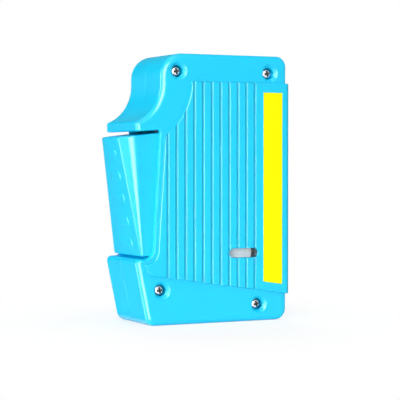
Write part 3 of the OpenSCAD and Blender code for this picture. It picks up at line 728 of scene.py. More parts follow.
def rod(name: str, centre: Point2, radius: float, y0: float, y1: float) -> Piece:
    """Makes a pin along Y with softened rims.

    Args:
        name: The piece's name.
        centre: X and Z of its axis.
        radius: Its radius.
        y0: Where it starts.
        y1: Where it ends.

    Returns:
        The pin.
    """
    soft = 0.15
    less = soft * MIDWAY
    return lathe(name, centre, [
        (radius - soft, y0), (radius - less, y0 + less), (radius, y0 + soft),
        (radius, y1 - soft), (radius - less, y1 - less), (radius - soft, y1)], steps=40)


def stadium(centre: Point2, width: float, height: float, grow: float,
            steps: int) -> list[Point2]:
    """Returns a slot's outline with round ends, made larger all round by grow."""
    reach, radius = (width - height) / 2, height / 2 + grow
    return [point for side in (1.0, -1.0) for point in arc(
        (centre[0] + side * reach, centre[1]), radius, -90.0 * side, 180.0, steps)]


@dataclass(frozen=True)
class Corner:
    """One corner of the case outline, with how far its next edge draws in."""

    x: float
    z: float
    radius: float
    round_share: float
    cavity_share: float


@dataclass(frozen=True)
class Outline:
    """A closed outline with rounded corners that can be drawn inward."""

    corners: tuple[Corner, ...]
    step: float = 4.0
    least_steps: int = 4
    least_r: float = 0.15

    def ring(self, depth: float, share: Callable[[Corner], float]) -> list[Point2]:
        """Draws the outline inward, each edge by its share of the depth."""
        rounds = (self._round(i, depth, share) for i in range(len(self.corners)))
        return [point for points in rounds for point in points]

    def _round(self, i: int, depth: float, share: Callable[[Corner], float]) -> list[Point2]:
        """Makes the round at one corner.

        Args:
            i: Number of the corner.
            depth: How far the edges move.
            share: Gives the share of the edge after a corner.

        Returns:
            The points of the round.
        """
        before, here = self.corners[i - 1], self.corners[i]
        after = self.corners[(i + 1) % len(self.corners)]
        place = Vector((here.x, here.z))
        u = Vector((here.x - before.x, here.z - before.z)).normalized()
        w = Vector((after.x - here.x, after.z - here.z)).normalized()
        turn = math.atan2(cross(u, w), u.dot(w))
        sign = 1.0 if turn > 0 else -1.0
        p = place + Vector((-u.y, u.x)) * depth * share(before)
        q = place + Vector((-w.y, w.x)) * depth * share(here)
        corner = p + u * (cross(q - p, w) / cross(u, w))
        radius = max(here.radius - sign * depth * (share(before) + share(here)) / 2, self.least_r)
        steps = max(math.ceil(math.degrees(abs(turn)) / self.step), self.least_steps)
        return corner_arc(corner, u, turn, radius, steps)


# The case


@dataclass(frozen=True)
class RaisedPanel:
    """The ribbed panel that stands proud of the case and wraps its right side.

    The three profiles are a groove's left lip, its bed and its right lip, in X from the groove's
    side and in Y from the face or, for the bed, from the depth.
    """

    reach_x: float = 39.0
    over: float = 0.5
    left_x: float = -28.5
    left_z: float = 21.4
    top_z: float = 103.2
    bow_centre: Point2 = (-37.4, 104.0)
    bow_r: float = 28.8
    bow_steps: int = 24
    edge_top: Point2 = (-21.1, 80.9)
    bend: Point2 = (-24.9, 26.1)
    bend_r: float = 5.5
    bend_steps: int = 16
    bank: Point2 = (-30.9, 26.1)
    seam_y: float = -0.02
    wrap_r: float = 2.5
    wrap_steps: int = 12
    wrap_x: float = -45.0
    past_z: Point2 = (-1.0, 116.0)
    edge_round: float = 0.55
    groove_count: int = 11
    groove_pitch: float = 4.16
    groove_last_x: float = 21.35
    groove_left: float = 0.7
    groove_right: float = 0.6
    groove_depth: float = 0.52
    left_lip: Profile = ((-0.16, -1.0), (-0.16, 0.0), (-0.08, 0.015), (0.0, 0.05))
    bed: Profile = ((-0.36, -0.02), (-0.28, 0.0), (-0.22, -0.04))
    right_lip: Profile = ((-0.1, 0.22), (-0.02, 0.1), (0.1, 0.03), (0.24, 0.0), (0.24, -1.0))

    def outline(self) -> list[Point2]:
        """Draws the panel's outline as seen from the front.

        Returns:
            X and Z of its points.
        """
        right = self.reach_x + self.over
        foot = self.left_z - FOOT_SLOPE * (self.reach_x - self.left_x)
        bow_x, bow_z = self.bow_centre
        top = math.degrees(math.acos((self.top_z - bow_z) / self.bow_r)) - 90.0
        end = -math.degrees(math.acos((self.edge_top[0] - bow_x) / self.bow_r))
        points: list[Point2] = [(self.left_x, self.left_z), (right, foot), (right, self.top_z)]
        points += arc(self.bow_centre, self.bow_r, -top, end + top, self.bow_steps)
        up = Vector((self.edge_top[0] - self.bend[0], self.edge_top[1] - self.bend[1])).normalized()
        turn = 90.0 - math.degrees(math.atan2(up.x, up.y))
        reach = self.bend_r * math.tan(math.radians(turn / 2))
        centre = (self.bend[0] - reach, self.bend[1] + self.bend_r)
        points += arc(centre, self.bend_r, turn - 90.0, -turn, self.bend_steps)
        return points + [self.bank]

    def make(self) -> Piece:
        """Makes the panel with soft edges, from its face to the parting plane.

        Returns:
            The front half's panel.
        """
        front = prism("panel", self.outline(), PANEL_Y - PAST, self.seam_y)
        corner = (self.reach_x - self.wrap_r, PANEL_Y + self.wrap_r)
        section = [(self.wrap_x, PAST), (self.wrap_x, PANEL_Y),
                   *arc(corner, self.wrap_r, -90.0, 90.0, self.wrap_steps), (self.reach_x, PAST)]
        wrap = Piece("panel_wrap", [[(x, y, z) for x, y in section] for z in self.past_z])
        return front.work(Cut.COMMON, wrap).bevel(
            self.edge_round, segments=3, angle=30.0)

    def grooves(self) -> list[Piece]:
        """Makes the cutters of the grooves, with soft lips.

        Returns:
            One cutter for each groove, from the right.
        """
        rows = ((-self.groove_left, 0.0, self.left_lip),
                (self.groove_right, self.groove_depth, self.bed),
                (self.groove_right, 0.0, self.right_lip))
        side = [(x + dx, y + dy) for x, y, profile in rows for dx, dy in profile]
        cutters = []
        for k in range(self.groove_count):
            x = self.groove_last_x - k * self.groove_pitch
            cutters.append(Piece(f"groove_{k}", [
                [(x + dx, PANEL_Y + dy, z) for dx, dy in side] for z in self.past_z]))
        return cutters


@dataclass(frozen=True)
class ScrewPlace:
    """One screw's place, with the profiles of its recess from the rim and from the well."""

    x: float
    z: float
    rim_r: float = 3.75
    rim: Profile = ((0.35, -1.5), (0.35, 0.0), (0.15, 0.04), (-0.08, 0.17))
    well_r: float = 2.5
    well: Profile = ((0.2, 1.35), (0.05, 1.52), (0.0, 1.75))
    seat_y: float = -13.4

    @property
    def centre(self) -> Point2:
        """X and Z of the screw."""
        return (self.x, self.z)

    def recess(self) -> Piece:
        """Returns the cutter of the recess with its soft rim."""
        profile = [(r + dr, FRONT_Y + dy) for r, part in (
            (self.rim_r, self.rim), (self.well_r, self.well)) for dr, dy in part]
        return lathe("recess", self.centre, [*profile, (self.well_r, self.seat_y)], steps=64)


@dataclass(frozen=True)
class CaseSizes:
    """Sizes that both halves of the case and the pieces in them share.

    The mouth is given by its width, height, foot and corner radius, and the window by the X and
    Z of its middle, its width and its height.
    """

    right_x: float = 38.0
    height: float = 115.0
    wall: float = 2.0
    edge_r: float = 2.5
    edge_steps: int = 10
    seam: Profile = ((-0.03, 0.08), (-0.06, 0.02), (-0.11, 0.0))
    mouth: tuple[float, float, float, float] = (18.0, 14.0, 44.0, 2.0)
    window: tuple[float, float, float, float] = (16.0, 29.85, 13.7, 4.05)
    pivot: Point2 = (-24.0, 33.0)
    takeup: Point2 = (4.0, 82.652)
    supply: Point2 = (2.8, 30.0)
    roller_x: float = 25.45
    roller_z: Point2 = (39.5, 61.5)

    def outline(self) -> Outline:
        """Gives the case outline as seen from the front.

        Returns:
            The outline, counter-clockwise from its foot.
        """
        right, top = self.right_x, self.height
        # Each corner's x, z, radius, round_share and cavity_share.
        rows = [
            (-28.6, 0.0, 4.0, 1.0, 1.0), (right, 0.0, 5.0, 1.0, 1.0), (right, top, 4.5, 1.0, 1.0),
            (-22.4, top, 10.0, 1.0, 1.0), (-22.4, 90.4, 17.2, 1.0, 1.0),
            (-33.8, 85.9, 1.3, 0.75, 0.5), (-33.8, 81.7, 1.0, 0.2, 0.75),
            (-23.1, 82.4, 0.3, 0.2, -0.8), (-26.4, 28.3, 4.5, 0.4, 1.0),
            (-34.47, 28.3, 2.2, 1.0, 1.0)]
        return Outline(tuple(Corner(*row) for row in rows))

    def screws(self) -> tuple[ScrewPlace, ...]:
        """Returns the places of the four screws."""
        return (ScrewPlace(-14.6, 107.4), ScrewPlace(29.2, 107.4), ScrewPlace(-22.5, 14.9),
                ScrewPlace(23.9, 7.3))


@dataclass
class CaseHalf:
    """One half of the moulded case.

    The lips of the mouth and of the window are rows of X or Y and how far the opening grows
    there. Bosses, rail and ledge start in the wall, a root deep, and end at their Y.
    """

    finishes: Finishes
    side: Side
    sizes: CaseSizes
    panel: RaisedPanel
    mouth_lip: Profile = (
        (35.0, 0.0), (38.55, 0.0), (38.8, 0.08), (38.95, 0.25), (39.0, 0.45), (40.5, 0.45))
    window_lip: Profile = ((-1.0, 0.32), (0.0, 0.32), (0.04, 0.16), (0.16, 0.04), (0.32, 0.0))
    window_past: float = 0.5
    root: float = 0.2
    boss_r: float = 4.5
    boss_y: float = -0.05
    screw_gap: float = 0.3
    roller_boss_r: float = 2.5
    roller_boss_y: float = -7.8
    supply_boss_y: float = -13.95
    takeup_boss_y: float = -13.05
    rear_boss_y: float = -8.7
    rail: tuple[Point2, Point2] = ((32.4, 60.5), (33.9, 108.0))
    rail_y: float = -13.1
    ledge: tuple[Point2, Point2] = ((29.0, 36.5), (36.2, 38.0))
    ledge_y: float = -10.0

    def form(self) -> Piece:
        """Makes the outer form with its rounded edge.

        Returns:
            The solid form of a front half.
        """
        s, outline = self.sizes, self.sizes.outline()
        edge = [(FRONT_Y + s.edge_r * (1 - sine), s.edge_r * (1 - cosine))
                for sine, cosine in quarter(s.edge_steps)]
        return Piece("case_half", [
            [(x, y, z) for x, z in outline.ring(depth, share)]
            for rows, share in ((s.seam, lambda c: 1.0), (edge, lambda c: c.round_share))
            for y, depth in rows])

    def mouth(self) -> Piece:
        """Makes the cutter of the cleaning opening in the right side, with soft lips.

        Returns:
            The cutter.
        """
        width, height, foot, corner = self.sizes.mouth
        across, up = width / 2 - corner, height / 2 - corner
        rings: list[Ring] = []
        for x, grow in self.mouth_lip:
            ring: Ring = []
            for cy, cz, start in ((1, 1, 0), (-1, 1, 90), (-1, -1, 180), (1, -1, 270)):
                centre = (cy * across, foot + height / 2 + cz * up)
                ring += [(x, y, z) for y, z in arc(
                    centre, corner + grow, start, 90.0, steps=8)]
            rings.append(ring)
        return Piece("mouth", rings)

    def bosses(self) -> list[Piece]:
        """Makes the bosses, the rail and the ledge on the inner side of the front wall.

        Returns:
            The pieces, before they join the shell.
        """
        s = self.sizes
        wall = INNER_Y - self.root
        front = self.side is Side.FRONT
        pieces = [rod("screw_boss", place.centre, self.boss_r, place.seat_y + self.screw_gap,
                      self.boss_y) for place in s.screws()]
        pieces += [rod("roller_boss", (s.roller_x, z), self.roller_boss_r, wall,
                       self.roller_boss_y) for z in s.roller_z]
        for name, centre, y in (("supply_boss", s.supply, self.supply_boss_y),
                                ("takeup_boss", s.takeup, self.takeup_boss_y)):
            pieces.append(rod(name, centre, self.boss_r, wall, y if front else self.rear_boss_y))
        for name, (low, high), y in (("rail", self.rail, self.rail_y),
                                     ("ledge", self.ledge, self.ledge_y)):
            pieces.append(box(name, (low[0], wall, low[1]), (high[0], y, high[1])))
        return pieces

    def window_cut(self) -> Piece:
        """Makes the cutter of the window slot, with its soft lip.

        Returns:
            The cutter.
        """
        x, z, width, height = self.sizes.window
        rows = [*((PANEL_Y + dy, grow) for dy, grow in self.window_lip),
                (INNER_Y + self.window_past, 0.0)]
        return stack("window_cut", rows, lambda grow: stadium(
            (x, z), width, height, grow, steps=16))

    def build(self) -> Piece:
        """Builds the half shell and places it.

        Returns:
            The finished piece.
        """
        s, outline, front = self.sizes, self.sizes.outline(), self.side is Side.FRONT
        shell = self.form().work(Cut.TOGETHER, self.panel.make())
        inside = outline.ring(s.wall, lambda c: c.cavity_share)
        shell.work(Cut.AWAY, prism("cavity", inside, INNER_Y, PAST))
        recesses = [place.recess() for place in s.screws()] if front else []
        shell.work(Cut.AWAY, *self.panel.grooves(), *recesses)
        openings = [self.window_cut(), FrontLabel(self.finishes).pocket()] if front else []
        shell.work(Cut.AWAY, self.mouth(), *openings)
        shell.join(*self.bosses())
        if not front:
            shell.mirror()
        shell.obj.name = f"{self.side.value}_half"
        return shell.smooth(angle=38.0).place(
            self.finishes, "case_blue", "case", f"{self.side.value}_shell")


@dataclass
class FrontLabel:
    """The bare yellow label along the right side of the panel."""

    finishes: Finishes
    left_x: float = 25.6
    right_x: float = 34.9
    top_z: float = 99.0
    foot_z: float = 15.8
    thick: float = 0.2
    gap: float = 0.04
    soft: float = 0.06

    def outline(self, grow: float) -> list[Point2]:
        """Returns the label's outline, made larger all round.

        Args:
            grow: How much larger.

        Returns:
            The outline.
        """
        left, right = self.left_x - grow, self.right_x + grow
        foot, top = self.foot_z - grow, self.top_z + grow
        return [(left, foot + FOOT_SLOPE * (right - left)), (right, foot), (right, top),
                (left, top)]

    def pocket(self) -> Piece:
        """Returns the cutter of the shallow place that the label lies in."""
        outline = self.outline(self.gap)
        return prism("label_pocket", outline, PANEL_Y - PAST, PANEL_Y + self.thick)

    def build(self) -> Piece:
        """Builds the label and places it.

        Returns:
            The finished piece.
        """
        soft, less = self.soft, self.soft * MIDWAY
        rows = [(PANEL_Y + self.thick, 0.0), (PANEL_Y + soft, 0.0), (PANEL_Y + less, -less),
                (PANEL_Y, -soft)]
        return stack("label", rows, self.outline).smooth(angle=50.0).place(
            self.finishes, "label_yellow", "case", "front_label")


@dataclass
class ViewingWindow:
    """The clear window with its lip behind the front wall, and painted shade at its right end: a
    near-black finish on its right-facing faces.
    """

    finishes: Finishes
    sizes: CaseSizes
    sink: float = 0.4
    rim: Profile = ((0.0, -0.42), (0.05, -0.26), (0.16, -0.12), (0.34, -0.05))
    gap: float = 0.05
    step: float = 0.01
    lip: float = 1.7
    lip_soft: float = 0.1
    thick: float = 1.0
    painted_shade_from: float = 0.3
    painted_shade_lean: float = 0.3

    def build(self) -> Piece:
        """Builds the window and places it.

        Returns:
            The finished piece.
        """
        x, z, width, height = self.sizes.window
        front, soft = PANEL_Y + self.sink, self.lip_soft
        neck, rest = INNER_Y + self.step, INNER_Y + 2 * self.step
        rows = [*((front + dy, grow) for dy, grow in self.rim), (neck, -self.gap),
                (rest, self.lip - soft), (rest + soft, self.lip),
                (INNER_Y + self.thick - soft, self.lip), (INNER_Y + self.thick, self.lip - soft)]
        lens = stack("window_lens", rows, lambda grow: stadium(
            (x, z), width, height, grow, steps=24))
        # Painted shade: right-facing faces between the rim and the wall's inner side get the
        # near-black finish, standing in for the shade at the slot's right end.
        low, high = (front + self.painted_shade_from) * MM, INNER_Y * MM
        return lens.smooth(angle=35.0).paint(
            self.finishes, "window_clear", "window_edge",
            lambda face: face.normal.x > self.painted_shade_lean and low < face.center.y < high).place(
                self.finishes, "window_clear", "case", "viewing_window")


@dataclass
class CaseScrews:
    """The four screws with domed heads and cross recesses.

    A wing is one arm pair of a recess. It starts over the head, at a height and a scale, and its
    rows are a share of its depth and a scale. Faces less than recess_reach wings away and between
    the dome and the floor count as inside, and get a near-black finish as painted shade.
    """

    finishes: Finishes
    sizes: CaseSizes
    head_r: float = 2.1
    head_t: float = 1.3
    dome: float = 0.75
    dome_steps: int = 8
    head_soft: float = 0.12
    shank_r: float = 1.15
    length: float = 22.0
    tip_r: float = 0.2
    tip_length: float = 1.6
    least: float = 0.01
    turn: float = 12.0
    wing_w: float = 0.85
    wing_reach: float = 1.35
    wing_depth: float = 0.95
    wing_over: Point2 = (0.5, 1.12)
    wing_rows: Profile = ((0.6, 0.9), (1.0, 0.45))
    recess_reach: float = 1.2
    recess_under: float = 0.06
    recess_floor: float = 0.2

    def screw(self, place: ScrewPlace) -> Piece:
        """Builds one screw.

        Args:
            place: Where it sits.

        Returns:
            The screw with its recess.
        """
        top, seat = place.seat_y - self.head_t, place.seat_y
        dome = [(self.head_r * sine, top + self.dome * (1 - cosine))
                for sine, cosine in quarter(self.dome_steps)[1:]]
        profile = [(self.least, top), *dome, (self.head_r, seat - self.head_soft),
                   (self.head_r - self.head_soft, seat), (self.shank_r, seat + self.least),
                   (self.shank_r, seat + self.length - self.tip_length),
                   (self.tip_r, seat + self.length)]
        screw = lathe("screw", place.centre, profile, steps=48)
        for turn in (self.turn, self.turn + 90.0):
            screw.work(Cut.AWAY, self.wing(place, top, turn))
        return screw

    def wing(self, place: ScrewPlace, top: float, turn: float) -> Piece:
        """Returns one arm pair of the cross recess, which narrows inward.

        Args:
            place: Where the screw sits.
            top: Y of the head's crown.
            turn: Turn of the arm pair in degrees.

        Returns:
            The cutter.
        """
        (c, s), (over, wide) = polar(1.0, turn), self.wing_over
        rows = [(top + self.wing_depth * share, scale) for share, scale in self.wing_rows]
        rings: list[Ring] = []
        for y, scale in ((top - over, wide), *rows):
            ring: Ring = []
            for sx, sz in ((-1, -1), (1, -1), (1, 1), (-1, 1)):
                dx = sx * self.wing_reach * scale
                dz = sz * self.wing_w / 2 * (0.5 + scale / 2)
                ring.append((place.x + dx * c - dz * s, y, place.z + dx * s + dz * c))
            rings.append(ring)
        return Piece("wing", rings)

    def in_recess(self, face: Any) -> bool:
        """Tells whether a face of the screws lies in a cross recess, below the dome, where shade is
        painted.

        Args:
            face: The mesh's polygon.

        Returns:
            True in a recess.
        """
        for place in self.sizes.screws():
            off = face.center / MM - Vector((place.x, 0.0, place.z))
            out = math.hypot(off.x, off.z)
            fall = self.dome * (1 - math.sqrt(max(1 - (out / self.head_r) ** 2, 0)))
            under = place.seat_y - self.head_t + fall + self.recess_under
            reach, floor = self.wing_reach * self.recess_reach, place.seat_y - self.recess_floor
            if out < reach and under < off.y < floor:
                return True
        return False

    def build(self) -> Piece:
        """Builds the four screws as one piece and places it.

        Returns:
            The finished piece.
        """
        first, *rest = [self.screw(place) for place in self.sizes.screws()]
        screws = first.join(*rest)
        screws.obj.name = "cross_screws"
        # Painted shade: faces inside the cross recesses get the near-black finish.
        return screws.smooth(angle=35.0).paint(
            self.finishes, "screw_chrome", "screw_recess", self.in_recess).place(
                self.finishes, "screw_chrome", "case", "case_screws")


# The thumb lever


@dataclass(frozen=True)
class LeverLevel:
    """The lever's section at one height: its edges, its thumb face and its corner rounds."""

    z: float
    edge_x: float
    face_x: float
    corner: float
    edge_round: float
    face_round: float
    slope: float


@dataclass
class ThumbLever:
    """The hollow thumb lever with its five low pads."""

    finishes: Finishes
    sizes: CaseSizes
    half: float = 14.75
    inner_x: float = -22.0
    tip_x: float = -39.0
    foot: LeverLevel = LeverLevel(29.3, -30.5, -30.9, 0.75, 0.75, 0.6, 0.0)
    top: LeverLevel = LeverLevel(79.5, -35.65, -39.0, 6.1, 5.4, 2.6, 0.115)
    least_round: float = 0.2
    round_steps: int = 10
    crown: float = 0.45
    crown_steps: int = 6
    crown_share: float = 0.9
    rim: float = 0.7
    rim_steps: int = 5
    levels: int = 24
    wall: float = 2.0
    opening: tuple[Point3, Point3] = ((-27.5, -12.75, 28.5), (-21.0, 12.75, 31.8))
    hub_r: float = 3.5
    hub_y: float = 13.75
    hub_half: float = 0.98
    pin_r: float = 1.56
    hole_y: float = 16.0
    peg_r: float = 1.5
    peg_at: Point2 = (9.0, 100.0)
    peg_y: Point2 = (-12.8, -10.75)
    pad_count: int = 5
    pad_first_z: float = 72.5
    pad_pitch: float = 9.5
    pad_h: float = 5.4
    pad_rise: float = 0.38
    pad_root: float = -0.6
    pad_widths: Point2 = (10.5, 17.0)
    pad_steps: int = 12
    pad_taper: float = 0.99
    pad_swell: float = 1.5

    def level(self, t: float) -> LeverLevel:
        """Returns the section between the foot, at zero, and the top, at one."""
        pairs = zip(astuple(self.foot), astuple(self.top))
        return LeverLevel(*(foot + (top - foot) * t for foot, top in pairs))

    def flat(self, level: LeverLevel, inset: float, inner_x: float) -> list[Point2]:
        """Returns the six sharp corners of a section, drawn in by the inset.

        Args:
            level: The section's sizes.
            inset: How far it is drawn in.
            inner_x: X of its open inner side.

        Returns:
            X and Y of the corners.
        """
        h = self.half - inset
        edge, face, corner = level.edge_x + inset, level.face_x + inset, level.corner
        return [(inner_x, -h), (edge, -h), (face, corner - h), (face, h - corner), (edge, h),
                (inner_x, h)]

    def section(self, level: LeverLevel, inset: float, drop: float) -> Ring:
        """Draws one section.

        Args:
            level: The section's sizes.
            inset: How far it is drawn in.
            drop: How far it is moved down.

        Returns:
            Its ring of points.
        """
        corners = [Vector(point) for point in self.flat(level, inset, self.inner_x)]
        edge, face = level.edge_round, level.face_round
        points: list[Point2] = []
        for i, size in enumerate((0.0, edge, face, face, edge, 0.0)):
            here = corners[i]
            if not size:
                points.append((here.x, here.y))
                continue
            u = (here - corners[i - 1]).normalized()
            w = (corners[(i + 1) % 6] - here).normalized()
            turn = math.atan2(cross(u, w), u.dot(w))
            radius = max(size - inset, self.least_round)
            points += corner_arc(here, u, turn, radius, self.round_steps)
            if i == 2:
                points += self.face_bow(level, inset)
        return [self._lift(x, y, level, drop) for x, y in points]

    def face_bow(self, level: LeverLevel, inset: float) -> list[Point2]:
        """Returns points of the low bow across the thumb face.

        Args:
            level: The section's sizes.
            inset: How far the section is drawn in.

        Returns:
            X and Y of the points.
        """
        face, reach = level.face_x + inset, self.half - inset - level.corner
        points: list[Point2] = []
        for k in range(-self.crown_steps, self.crown_steps + 1):
            y = reach * self.crown_share * k / self.crown_steps
            points.append((face - self.crown * (1 - (y / reach) ** 2), y))
        return points

    def _lift(self, x: float, y: float, level: LeverLevel, drop: float) -> Point3:
        """Returns a point of a section on its sloping plane."""
        return (x, y, level.z + level.slope * (x - self.tip_x) - drop)

    def block(self) -> Piece:
        """Makes the outer form, with soft rims at its top and foot.

        Returns:
            The solid form.
        """
        rings: list[Ring] = []
        soft, foot, top = self.rim, self.level(0.0), self.level(1.0)
        for sine, cosine in quarter(self.rim_steps):
            rings.append(self.section(foot, soft * (1 - sine), -soft * (1 - cosine)))
        for k in range(1, self.levels):
            rings.append(self.section(self.level(k / self.levels), 0.0, 0.0))
        for sine, cosine in quarter(self.rim_steps):
            rings.append(self.section(top, soft * (1 - cosine), soft * (1 - sine)))
        return Piece("lever", rings)

    def hollow(self) -> Piece:
        """Makes the cutter of the hollow, open to the right.

        Returns:
            The cutter.
        """
        rings: list[Ring] = []
        for t, rise in ((0.0, self.wall), (1.0, -self.wall)):
            level = self.level(t)
            flat = self.flat(level, self.wall, self.inner_x + PAST)
            rings.append([self._lift(x, y, level, -rise) for x, y in flat])
        return Piece("hollow", rings)

    def pad(self, k: int) -> Piece:
        """Returns one low dome of the thumb face.

        Args:
            k: Its number from the top.

        Returns:
            The dome.
        """
        z = self.pad_first_z - k * self.pad_pitch
        narrow, wide = self.pad_widths
        width = narrow + (wide - narrow) * k / (self.pad_count - 1)
        height = self.top.z - self.foot.z
        x = self.level((z - self.foot.z) / height).face_x
        lean = math.atan2(self.foot.face_x - self.top.face_x, height)
        rings: list[Ring] = []
        for i in range(self.pad_steps + 1):
            scale = 1.0 - self.pad_taper * i / self.pad_steps
            base = self.crown if i else self.pad_root
            rise = self.pad_rise * (1.0 - scale ** 2) ** self.pad_swell + base
            flat = stadium((0.0, 0.0), width * scale, self.pad_h * scale, grow=0.0, steps=12)
            rings.append([
                (x - rise * math.cos(lean) - v * math.sin(lean), u,
                 z - rise * math.sin(lean) + v * math.cos(lean)) for u, v in flat])
        return Piece(f"pad_{k}", rings)

    def build(self) -> Piece:
        """Builds the lever and places it.

        Returns:
            The finished piece.
        """
        lever = self.block().work(Cut.AWAY, self.hollow())
        lever.work(Cut.AWAY, box("foot_opening", *self.opening))
        pivot = self.sizes.pivot
        lever.work(Cut.TOGETHER, *(
            rod("hub", pivot, self.hub_r, y - self.hub_half, y + self.hub_half)
            for y in (-self.hub_y, self.hub_y)))
        hole = [(self.pin_r, y) for y in (-self.hole_y, self.hole_y)]
        lever.work(Cut.AWAY, lathe("pin_hole", pivot, hole, steps=40))
        x, z = polar(*self.peg_at)
        peg = rod("arm_peg", (pivot[0] + x, pivot[1] + z), self.peg_r, *self.peg_y)
        lever.join(peg, *(self.pad(k) for k in range(self.pad_count)))
        lever.obj.name = "lever_shell"
        return lever.smooth(angle=32.0).place(self.finishes, "lever_blue", "lever", "thumb_lever")


# The mechanism and the studio


@dataclass
class Mechanism:
    """The CAD solids inside the case, which keep their shape and get a finish."""

    finishes: Finishes

    def build(self) -> None:
        """Gives each CAD node that still shows the finish of its material slot."""
        wanted = {row["node"]: row["material_slot"] for row in frame["record"]["subparts"]}
        for name, obj in frame["nodes"].items():
            if obj.hide_render:
                continue
            slot = wanted[name]
            obj.data.materials.clear()
            obj.data.materials.append(self.finishes[slot])
            LOG.info("%s: CAD solid with finish %s", name, slot)


def look_from(name: str, data: Any, place: Point3, target: Point3) -> Any:
    """Sets up a lamp or a camera.

    Args:
        name: Its name.
        data: The lamp's or camera's own data.
        place: Where it stands, in metres.
        target: What it points at, in metres.

    Returns:
        The new object.
    """
    obj = bpy.data.objects.new(name, data)
    bpy.context.scene.collection.objects.link(obj)
    obj.location = place
    obj.rotation_euler = (Vector(target) - Vector(place)).to_track_quat("-Z", "Y").to_euler()
    return obj


@dataclass(frozen=True)
class Lamp:
    """One soft light: it either lights the colours or only shows in reflections.

    Its place is given in degrees to the left of straight in front, degrees above the table and
    metres from the object.
    """

    name: str
    left: float
    up: float
    away: float
    face: Point2
    watts: float
    gloss: bool = False
    target: Point3 = (0.0, 0.0, 0.06)

    def build(self) -> None:
        """Adds the light, pointed at the object's middle."""
        side, high = math.radians(self.left), math.radians(self.up)
        level = -self.away * math.cos(high)
        place = (level * math.sin(side), level * math.cos(side),
                 self.target[2] + self.away * math.sin(high))
        data = bpy.data.lights.new(self.name, "AREA")
        data.shape = "RECTANGLE"
        data.size, data.size_y = self.face
        data.energy = self.watts
        obj = look_from(self.name, data, place, self.target)
        obj.visible_diffuse = not self.gloss
        obj.visible_glossy = self.gloss


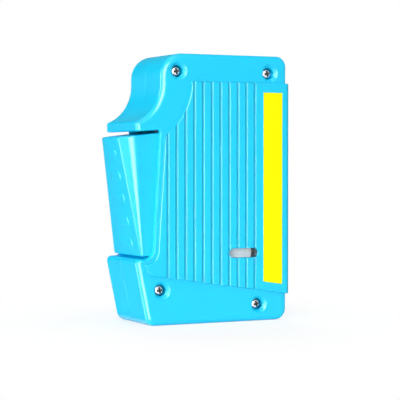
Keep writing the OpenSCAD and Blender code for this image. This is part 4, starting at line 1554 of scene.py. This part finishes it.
@dataclass
class Studio:
    """The floor, the lights, the white surroundings and the camera.

    In reflections the surroundings are darker on two sides, round the directions dim_left and
    right_left, in degrees to the left of straight in front. The spans say where each change
    starts and ends: for a side in how far a direction points to it, for the others in how far
    it points up.
    """

    eye: Point3 = (-0.2896, -0.5879, 0.0694)
    aim: Point3 = (-0.00466, -0.017, 0.05287)
    lens_mm: float = 135.19
    sensor_mm: float = 36.0
    clip: Point2 = (0.01, 20.0)
    floor_r: float = 0.26
    floor_y: Point2 = (-2.0, -0.02)
    floor_greys: Point2 = (0.93, 0.95)
    floor_cloud: Grain = Grain(60.0, 2.0)
    floor_steps: int = 72
    floor_near: float = 0.03
    floor_far: float = 0.5
    floor_least: float = 0.7
    sky: float = 0.36
    gloss: float = 0.92
    dim_left: float = 166.0
    dim_span: Point2 = (0.35, 0.95)
    dim: float = 0.2
    dim_up_span: Point2 = (0.1, 0.3)
    dim_up: float = 0.25
    right_left: float = -95.0
    right_span: Point2 = (0.2, 0.85)
    right_dim: float = 0.3
    table_span: Point2 = (-0.45, -0.3)
    table: float = 1.2
    ceiling_span: Point2 = (0.45, 0.85)
    lamps: tuple[Lamp, ...] = (
        Lamp("key", 42.0, 14.0, 1.0, (0.42, 0.7), 6.5),
        Lamp("side", 100.0, 0.0, 0.9, (0.4, 0.5), 1.7),
        Lamp("fill", -80.0, 20.0, 1.0, (0.5, 0.6), 2.2),
        Lamp("top", 0.0, 75.0, 0.9, (0.5, 0.5), 2.0),
        Lamp("back", 195.0, 30.0, 1.0, (0.6, 0.5), 4.5),
        Lamp("round_gloss", 43.0, 18.0, 1.0, (0.86, 0.93), 30.0, True),
        Lamp("lever_gloss", 42.0, -18.5, 1.0, (0.66, 0.42), 11.0, True),
        Lamp("back_gloss", 215.0, 10.0, 1.0, (0.4, 0.4), 2.0, True),
        Lamp("narrow_gloss", 118.0, 0.0, 0.9, (0.22, 0.9), 6.5, True),
        Lamp("top_gloss", 0.0, 75.0, 0.9, (0.5, 0.5), 2.0, True),
        Lamp("fill_gloss", -80.0, 20.0, 1.0, (0.5, 0.6), 1.4, True))

    @staticmethod
    def _rays(g: Graph, *kinds: str) -> Sock:
        """Returns one for rays of the named kinds, and zero for the others.

        Args:
            g: The graph to add the nodes to.
            kinds: Names of Light Path's outputs.

        Returns:
            The one or zero.
        """
        share = g.add("ShaderNodeLightPath", {}, {}, kinds[0])
        for kind in kinds[1:]:
            share = g.largest(share, g.add("ShaderNodeLightPath", {}, {}, kind))
        return share

    @staticmethod
    def _towards(g: Graph, left: float) -> Sock:
        """Returns how far a level direction points to one side, from -1 to 1.

        Args:
            g: The graph to add the nodes to.
            left: Degrees to the left of straight in front.

        Returns:
            The cosine between the two directions.
        """
        flat = g.add("ShaderNodeVectorMath", {"operation": "MULTIPLY"}, {
            0: g.place(), 1: (1.0, 1.0, 0.0)})
        side = math.radians(left)
        return g.along(g.unit(flat), (-math.sin(side), -math.cos(side), 0.0))

    def _glow(self, g: Graph) -> Sock:
        """Returns how bright the surroundings are: one to the camera, less in reflections.

        Args:
            g: The graph to add the nodes to.

        Returns:
            The strength.
        """
        up = g.along(g.unit(g.place()), (0.0, 0.0, 1.0))
        rear = g.step(self._towards(g, self.dim_left), *self.dim_span, 0.0, 1.0)
        right = g.step(self._towards(g, self.right_left), *self.right_span, 1.0, self.right_dim)
        over = g.step(up, *self.dim_up_span, 1.0, self.dim_up)
        level = 1.0 - rear * (1.0 - self.dim * over)
        level = g.largest(level, g.step(up, *self.table_span, self.table, 0.0))
        level = g.largest(level, g.step(up, *self.ceiling_span, 0.0, 1.0))
        return g.largest(level * right * self.gloss, self._rays(g, "Is Camera Ray"))

    def floor(self) -> None:
        """Makes the pale floor, which keeps the object's shadow."""
        g = Graph("floor_white")
        dark, light = ((grey, grey, grey) for grey in self.floor_greys)
        diffuse = g.add("ShaderNodeBsdfDiffuse", {}, {
            "Color": g.mix(g.noise(self.floor_cloud), dark, light)})
        far = g.add("ShaderNodeVectorMath", {"operation": "LENGTH"}, {0: g.place()}, "Value")
        glow = g.add("ShaderNodeEmission", {}, {"Color": (1.0, 1.0, 1.0, 1.0), "Strength": 1.0})
        fade = g.step(
            far, self.floor_near, self.floor_r * self.floor_far, self.floor_least, 1.0)
        seen = self._rays(g, *SEEN)
        material = g.end(g.add("ShaderNodeMixShader", {}, {0: fade * seen, 1: diffuse, 2: glow}))
        rim = arc((0.0, 0.0), self.floor_r / MM, 0.0, 360.0, self.floor_steps)[:-1]
        ground = Piece("floor", [[(x, y, z) for x, y in rim] for z in self.floor_y])
        ground.obj.data.materials.append(material)
        ground.obj.visible_glossy = ground.obj.visible_shadow = False

    def world(self) -> None:
        """Makes the white surroundings, which light the object softly."""
        g = Graph("studio", sky=True)
        white = (1.0, 1.0, 1.0, 1.0)
        glow, light = (
            g.add("ShaderNodeBackground", {}, {"Color": white, "Strength": strength})
            for strength in (self._glow(g), self.sky))
        seen = self._rays(g, *SEEN)
        shader = g.add("ShaderNodeMixShader", {}, {0: seen, 1: light, 2: glow})
        bpy.context.scene.world = g.end(shader)

    def camera(self) -> None:
        """Adds the camera at the photograph's place."""
        data = bpy.data.cameras.new("camera")
        data.lens, data.sensor_width = self.lens_mm, self.sensor_mm
        data.clip_start, data.clip_end = self.clip
        bpy.context.scene.camera = look_from("camera", data, self.eye, self.aim)

    def build(self) -> None:
        """Builds the whole studio."""
        self.floor()
        self.world()
        for lamp in self.lamps:
            lamp.build()
        self.camera()
        bpy.context.scene.view_settings.view_transform = "Standard"
        LOG.info("studio: %d lamps, one floor and the camera", len(self.lamps))


def main() -> None:
    """Builds the cassette and its studio."""
    logging.basicConfig(level=logging.INFO, format="%(message)s")
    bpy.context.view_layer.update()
    finishes = Finishes()
    sizes = CaseSizes()
    panel = RaisedPanel()
    for side in Side:
        CaseHalf(finishes, side, sizes, panel).build()
    CaseScrews(finishes, sizes).build()
    FrontLabel(finishes).build()
    ViewingWindow(finishes, sizes).build()
    ThumbLever(finishes, sizes).build()
    Mechanism(finishes).build()
    Studio().build()


if __name__ == "__main__":
    main()
